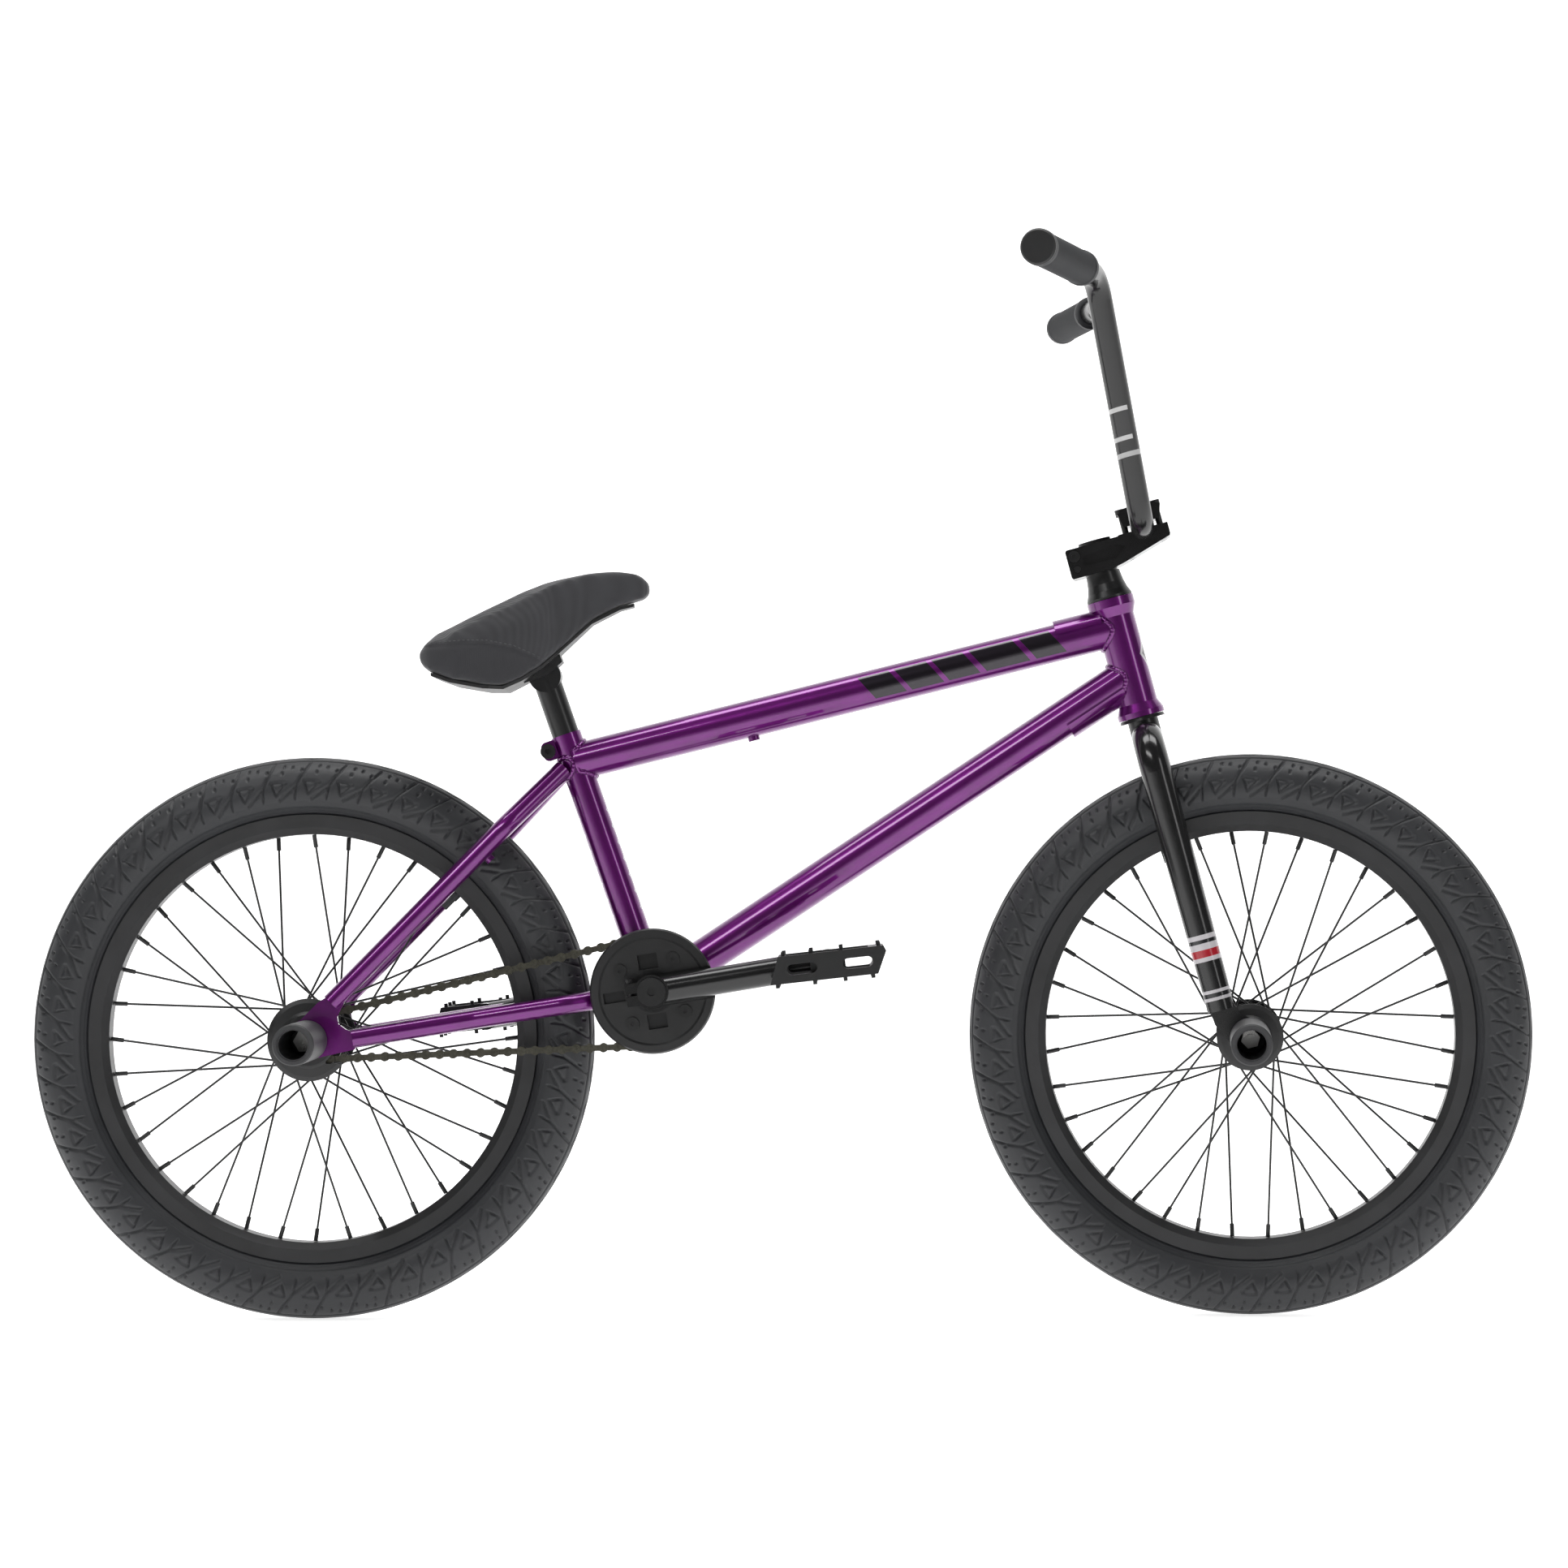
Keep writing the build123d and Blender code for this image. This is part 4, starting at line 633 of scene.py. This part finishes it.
def buildSeat():
    source = nodes["seat_cover"]
    piece = bpy.data.objects.new("seatPad", source.data.copy())
    bpy.context.collection.objects.link(piece)
    remesh = piece.modifiers.new("even", "REMESH")
    remesh.mode = "VOXEL"
    remesh.voxel_size = seat["voxel"]
    applyModifiers(piece)
    mesh = piece.data
    rest = np.empty(len(mesh.vertices) * 3)
    normals = np.empty(len(mesh.vertices) * 3)
    mesh.vertices.foreach_get("co", rest)
    mesh.vertices.foreach_get("normal", normals)
    rest = rest.reshape(-1, 3)
    small = rest - normals.reshape(-1, 3) * seat["shrink"]
    mesh.vertices.foreach_set("co", small.ravel())
    mesh.update()
    cloth = piece.modifiers.new("stuffing", "CLOTH")
    cloth.settings.use_pressure = True
    cloth.settings.uniform_pressure_force = seat["pressure"]
    cloth.settings.effector_weights.gravity = 0
    cloth.settings.tension_stiffness = 18
    cloth.settings.bending_stiffness = 2.0
    scene = bpy.context.scene
    for number in range(1, seat["frames"] + 1):
        scene.frame_set(number)
    applyModifiers(piece)
    scene.frame_set(1)
    mesh = piece.data
    smooth = piece.modifiers.new("rounded", "SMOOTH")
    smooth.factor = 0.5
    smooth.iterations = 6
    applyModifiers(piece)
    mesh = piece.data
    swelled = np.empty(len(mesh.vertices) * 3)
    mesh.vertices.foreach_get("co", swelled)
    swelled = swelled.reshape(-1, 3)
    moved = swelled - small
    length = np.linalg.norm(moved, axis=1)
    cap = np.minimum(1, seat["cap"] / np.maximum(length, 1e-9))
    swelled = small + moved * cap[:, None]
    low = rest.min(0) - seat["spare"]
    high = rest.max(0) + seat["spare"]
    swelled = np.clip(swelled, low, high)
    mesh.vertices.foreach_set("co", swelled.ravel())
    mesh.update()
    divide = piece.modifiers.new("fine", "SUBSURF")
    divide.levels = 1
    divide.render_levels = 1
    applyModifiers(piece)
    mesh = piece.data
    co = np.empty(len(mesh.vertices) * 3)
    nor = np.empty(len(mesh.vertices) * 3)
    mesh.vertices.foreach_get("co", co)
    mesh.vertices.foreach_get("normal", nor)
    co = co.reshape(-1, 3)
    nor = nor.reshape(-1, 3)
    gap = np.abs(co[:, 2] - seamHeight(co[:, 0]))
    onSide = np.abs(nor[:, 1]) > 0.25
    nearSeam = onSide & (co[:, 0] < seamLine[-1][0])
    dip = np.clip(1 - gap / seat["seamHalf"], 0, 1) ** 1.5 * nearSeam * seat["seamDepth"]
    co -= nor * dip[:, None]
    mesh.vertices.foreach_set("co", co.ravel())
    mesh.polygons.foreach_set("use_smooth", [True] * len(mesh.polygons))
    mesh.update()
    mesh.materials.clear()
    mesh.materials.append(seatCloth())
    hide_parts("seat_cover")
    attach(piece, "seat")
    return piece


def seatCloth():
    cloth = Finish("ribbedSeatCloth", Sheen_Weight=0.25, Sheen_Roughness=0.5)
    x, y, z = cloth.split(cloth.place())
    ribs = (y * (2 * math.pi / seat["rib"])).call("SINE") * 0.5 + 0.5
    warp, weft = [(way * (2 * math.pi / seat["weave"])).call("SINE") for way in (x, y)]
    weave = warp * weft * 0.5 + 0.5
    ahead = (x + 0.272).call("MAXIMUM", 0.0)
    onTop = (z + ahead * ahead * 5.9) > 0.6291
    height = onTop * ribs + (1 - onTop) * (weave * 0.35 + 0.3)
    dust = cloth.noise(26.0, 4.0)
    dark = (0.012, 0.012, 0.014, 1)
    pale = (0.034, 0.034, 0.039, 1)
    # base colour mixes dust with the rib and weave height: painted shade in the hollows of the ribs and
    # weave, paler on their crests
    cloth.feed("Base Color", cloth.mix(height * 0.25 + dust * 0.75, dark, pale))
    cloth.feed("Roughness", 0.78 - onTop * 0.12 + dust * 0.1)
    return cloth.bump(height * 0.8 + cloth.noise(1500.0) * 0.2, 0.35, 0.0005).material


seatPad = buildSeat()


def seatStitches():
    # short threads laid just above the side seam, on the cover's own surface
    tree = BVHTree.FromObject(seatPad, bpy.context.evaluated_depsgraph_get())
    toWorld = seatPad.matrix_world
    vertices = []
    faces = []
    for side in (-1, 1):
        x = -0.327
        while x < -0.221:
            ends = []
            for spot in (x, x + seat["stitch"] * 0.62):
                origin = Vector((spot, side * 0.12, float(seamHeight(spot)) + 0.0036))
                hit = tree.ray_cast(toWorld.inverted() @ origin, Vector((0, -side, 0)))
                ends.append(hit[0] if hit[0] is None else toWorld @ hit[0])
            x += seat["stitch"]
            if None in ends:
                continue
            run = (ends[1] - ends[0]).normalized()
            outward = Vector((0, side, 0))
            up = run.cross(outward).normalized()
            start = len(vertices)
            for share, size in ((0, 0.4), (0.25, 1), (0.75, 1), (1, 0.4)):
                middle = ends[0].lerp(ends[1], share) + outward * 0.00005
                for index in range(6):
                    turn = index * math.pi / 3
                    swing = outward * math.cos(turn) + up * math.sin(turn)
                    vertices.append(middle + swing * seat["thread"] * size)
            for ring in range(3):
                for index in range(6):
                    after = (index + 1) % 6
                    a = start + ring * 6
                    faces.append((a + index, a + after, a + 6 + after, a + 6 + index))
    thread = mouldedPlastic("stitchThread", 0.05, 0.7, 3000.0)
    addPiece("seatStitches", vertices, faces, thread, "seat")


seatStitches()
print("seat stuffed and sewn")


# grips: fine rings moulded round the rubber
gripShape = {
    "length": 0.160,
    "radius": 0.0152,
    "bore": 0.0113,
    "collar": 0.01595,
    "collarLength": 0.007,
    "pitch": 0.0032,
    "cut": 0.0007,
    "steps": 300,
    "around": 48,
}


def buildGrips():
    vertices = []
    faces = []
    for side in (-1, 1):
        inner, outer = gripLine(side)
        axis = (outer - inner).normalized()
        first = axis.orthogonal().normalized()
        second = axis.cross(first)
        length = gripShape["length"]
        outline = [(0.0, gripShape["bore"]), (0.0, gripShape["collar"])]
        for index in range(gripShape["steps"] + 1):
            travel = length * index / gripShape["steps"]
            nearest = min(travel, length - travel)
            wave = 0.5 + 0.5 * math.cos(2 * math.pi * travel / gripShape["pitch"])
            ribbed = gripShape["radius"] - gripShape["cut"] * wave
            outline.append((travel, gripShape["collar"] if nearest < gripShape["collarLength"] else ribbed))
        outline += [(length, gripShape["collar"]), (length, gripShape["bore"])]
        base = len(vertices)
        around = gripShape["around"]
        for travel, radius in outline:
            for index in range(around):
                turn = index * 2 * math.pi / around
                swing = first * math.cos(turn) + second * math.sin(turn)
                vertices.append(inner + axis * travel + swing * radius)
        for ring in range(len(outline) - 1):
            for index in range(around):
                after = (index + 1) % around
                a = base + ring * around
                faces.append((a + index, a + after, a + around + after, a + around + index))
    grips = addPiece("ribbedGrips", vertices, faces, gripRubber, "handlebar")
    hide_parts("grips")


def steered(ahead, across, up):
    return headBottom + steerForward * ahead + frontAcross * across + steerUp * up


def gripLine(side):
    riseTop = steered(0.0655, side * 0.140, 0.3945)
    end = steered(0.0231, side * 0.3508, 0.4073)
    axis = (end - riseTop).normalized()
    return end - axis * gripShape["length"], end


buildGrips()
print("grips moulded")

# floor, light and camera
studio = {"size": 30.0, "floor": 0.9, "glow": 0.74, "key": 46.0, "fill": 16.0, "top": 66.0, "world": 0.12}


def buildStudio():
    size = studio["size"]
    mesh = bpy.data.meshes.new("floor")
    back = []
    for index in range(25):
        turn = index / 24 * math.pi / 2
        back.append((2.4 + 1.6 * math.sin(turn), 1.6 - 1.6 * math.cos(turn)))
    profile = [(-size, 0.0)] + back + [(4.0, 14.0)]
    vertices = []
    for y, z in profile:
        vertices += [(-size, y, z - 0.0004), (size, y, z - 0.0004)]
    faces = [(2 * i, 2 * i + 1, 2 * i + 3, 2 * i + 2) for i in range(len(profile) - 1)]
    mesh.from_pydata(vertices, [], faces)
    mesh.polygons.foreach_set("use_smooth", [True] * len(mesh.polygons))
    floor = bpy.data.objects.new("floor", mesh)
    bpy.context.collection.objects.link(floor)
    paper = Finish("studioPaper", Roughness=0.85)
    paper.shader.inputs["Base Color"].default_value = tint(studio["floor"])
    _, depth, _ = paper.split(paper.place())
    near = ((depth + 2.2) / 0.6).call("MAXIMUM", 0.06).call("MINIMUM", 1.0)
    paper.feed("Emission Color", paper.mix(near, tint(0.0), tint(1.0)))
    paper.shader.inputs["Emission Strength"].default_value = studio["glow"]
    mesh.materials.append(paper.material)
    world = bpy.data.worlds.new("studio")
    bpy.context.scene.world = world
    world.use_nodes = True
    world.node_tree.nodes["Background"].inputs[0].default_value = (1, 1, 1, 1)
    world.node_tree.nodes["Background"].inputs[1].default_value = studio["world"]
    for name, spot, aim, wide, high, power in (
        ("keyBox", (-2.0, -3.0, 3.0), (0, 0, 0.4), 2.6, 0.7, studio["key"]),
        ("fillBox", (2.8, -2.8, 1.6), (0.1, 0, 0.4), 0.7, 2.2, studio["fill"]),
        ("topBox", (0.0, -0.3, 3.2), (0, 0, 0.3), 3.6, 0.9, studio["top"]),
    ):
        light = bpy.data.lights.new(name, "AREA")
        light.shape = "RECTANGLE"
        light.size = wide
        light.size_y = high
        light.energy = power
        lamp = bpy.data.objects.new(name, light)
        lamp.location = spot
        lamp.rotation_euler = (Vector(aim) - Vector(spot)).to_track_quat("-Z", "Y").to_euler()
        bpy.context.collection.objects.link(lamp)


camera = {
    "spot": (0.048, -4.140, 0.421),
    "focal": 101.3,
    "shiftX": -0.031,
    "shiftY": 0.0533,
    "roll": 0.0039,
}


def buildCamera():
    lens = bpy.data.cameras.new("camera")
    lens.lens = camera["focal"]
    lens.sensor_width = 36
    lens.shift_x = camera["shiftX"]
    lens.shift_y = camera["shiftY"]
    lens.clip_end = 100
    eye = bpy.data.objects.new("camera", lens)
    eye.location = camera["spot"]
    eye.rotation_euler = (math.pi / 2, camera["roll"], 0)
    bpy.context.collection.objects.link(eye)
    bpy.context.scene.camera = eye


buildStudio()
buildCamera()
bpy.context.scene.view_settings.view_transform = "Standard"
print("studio lit")
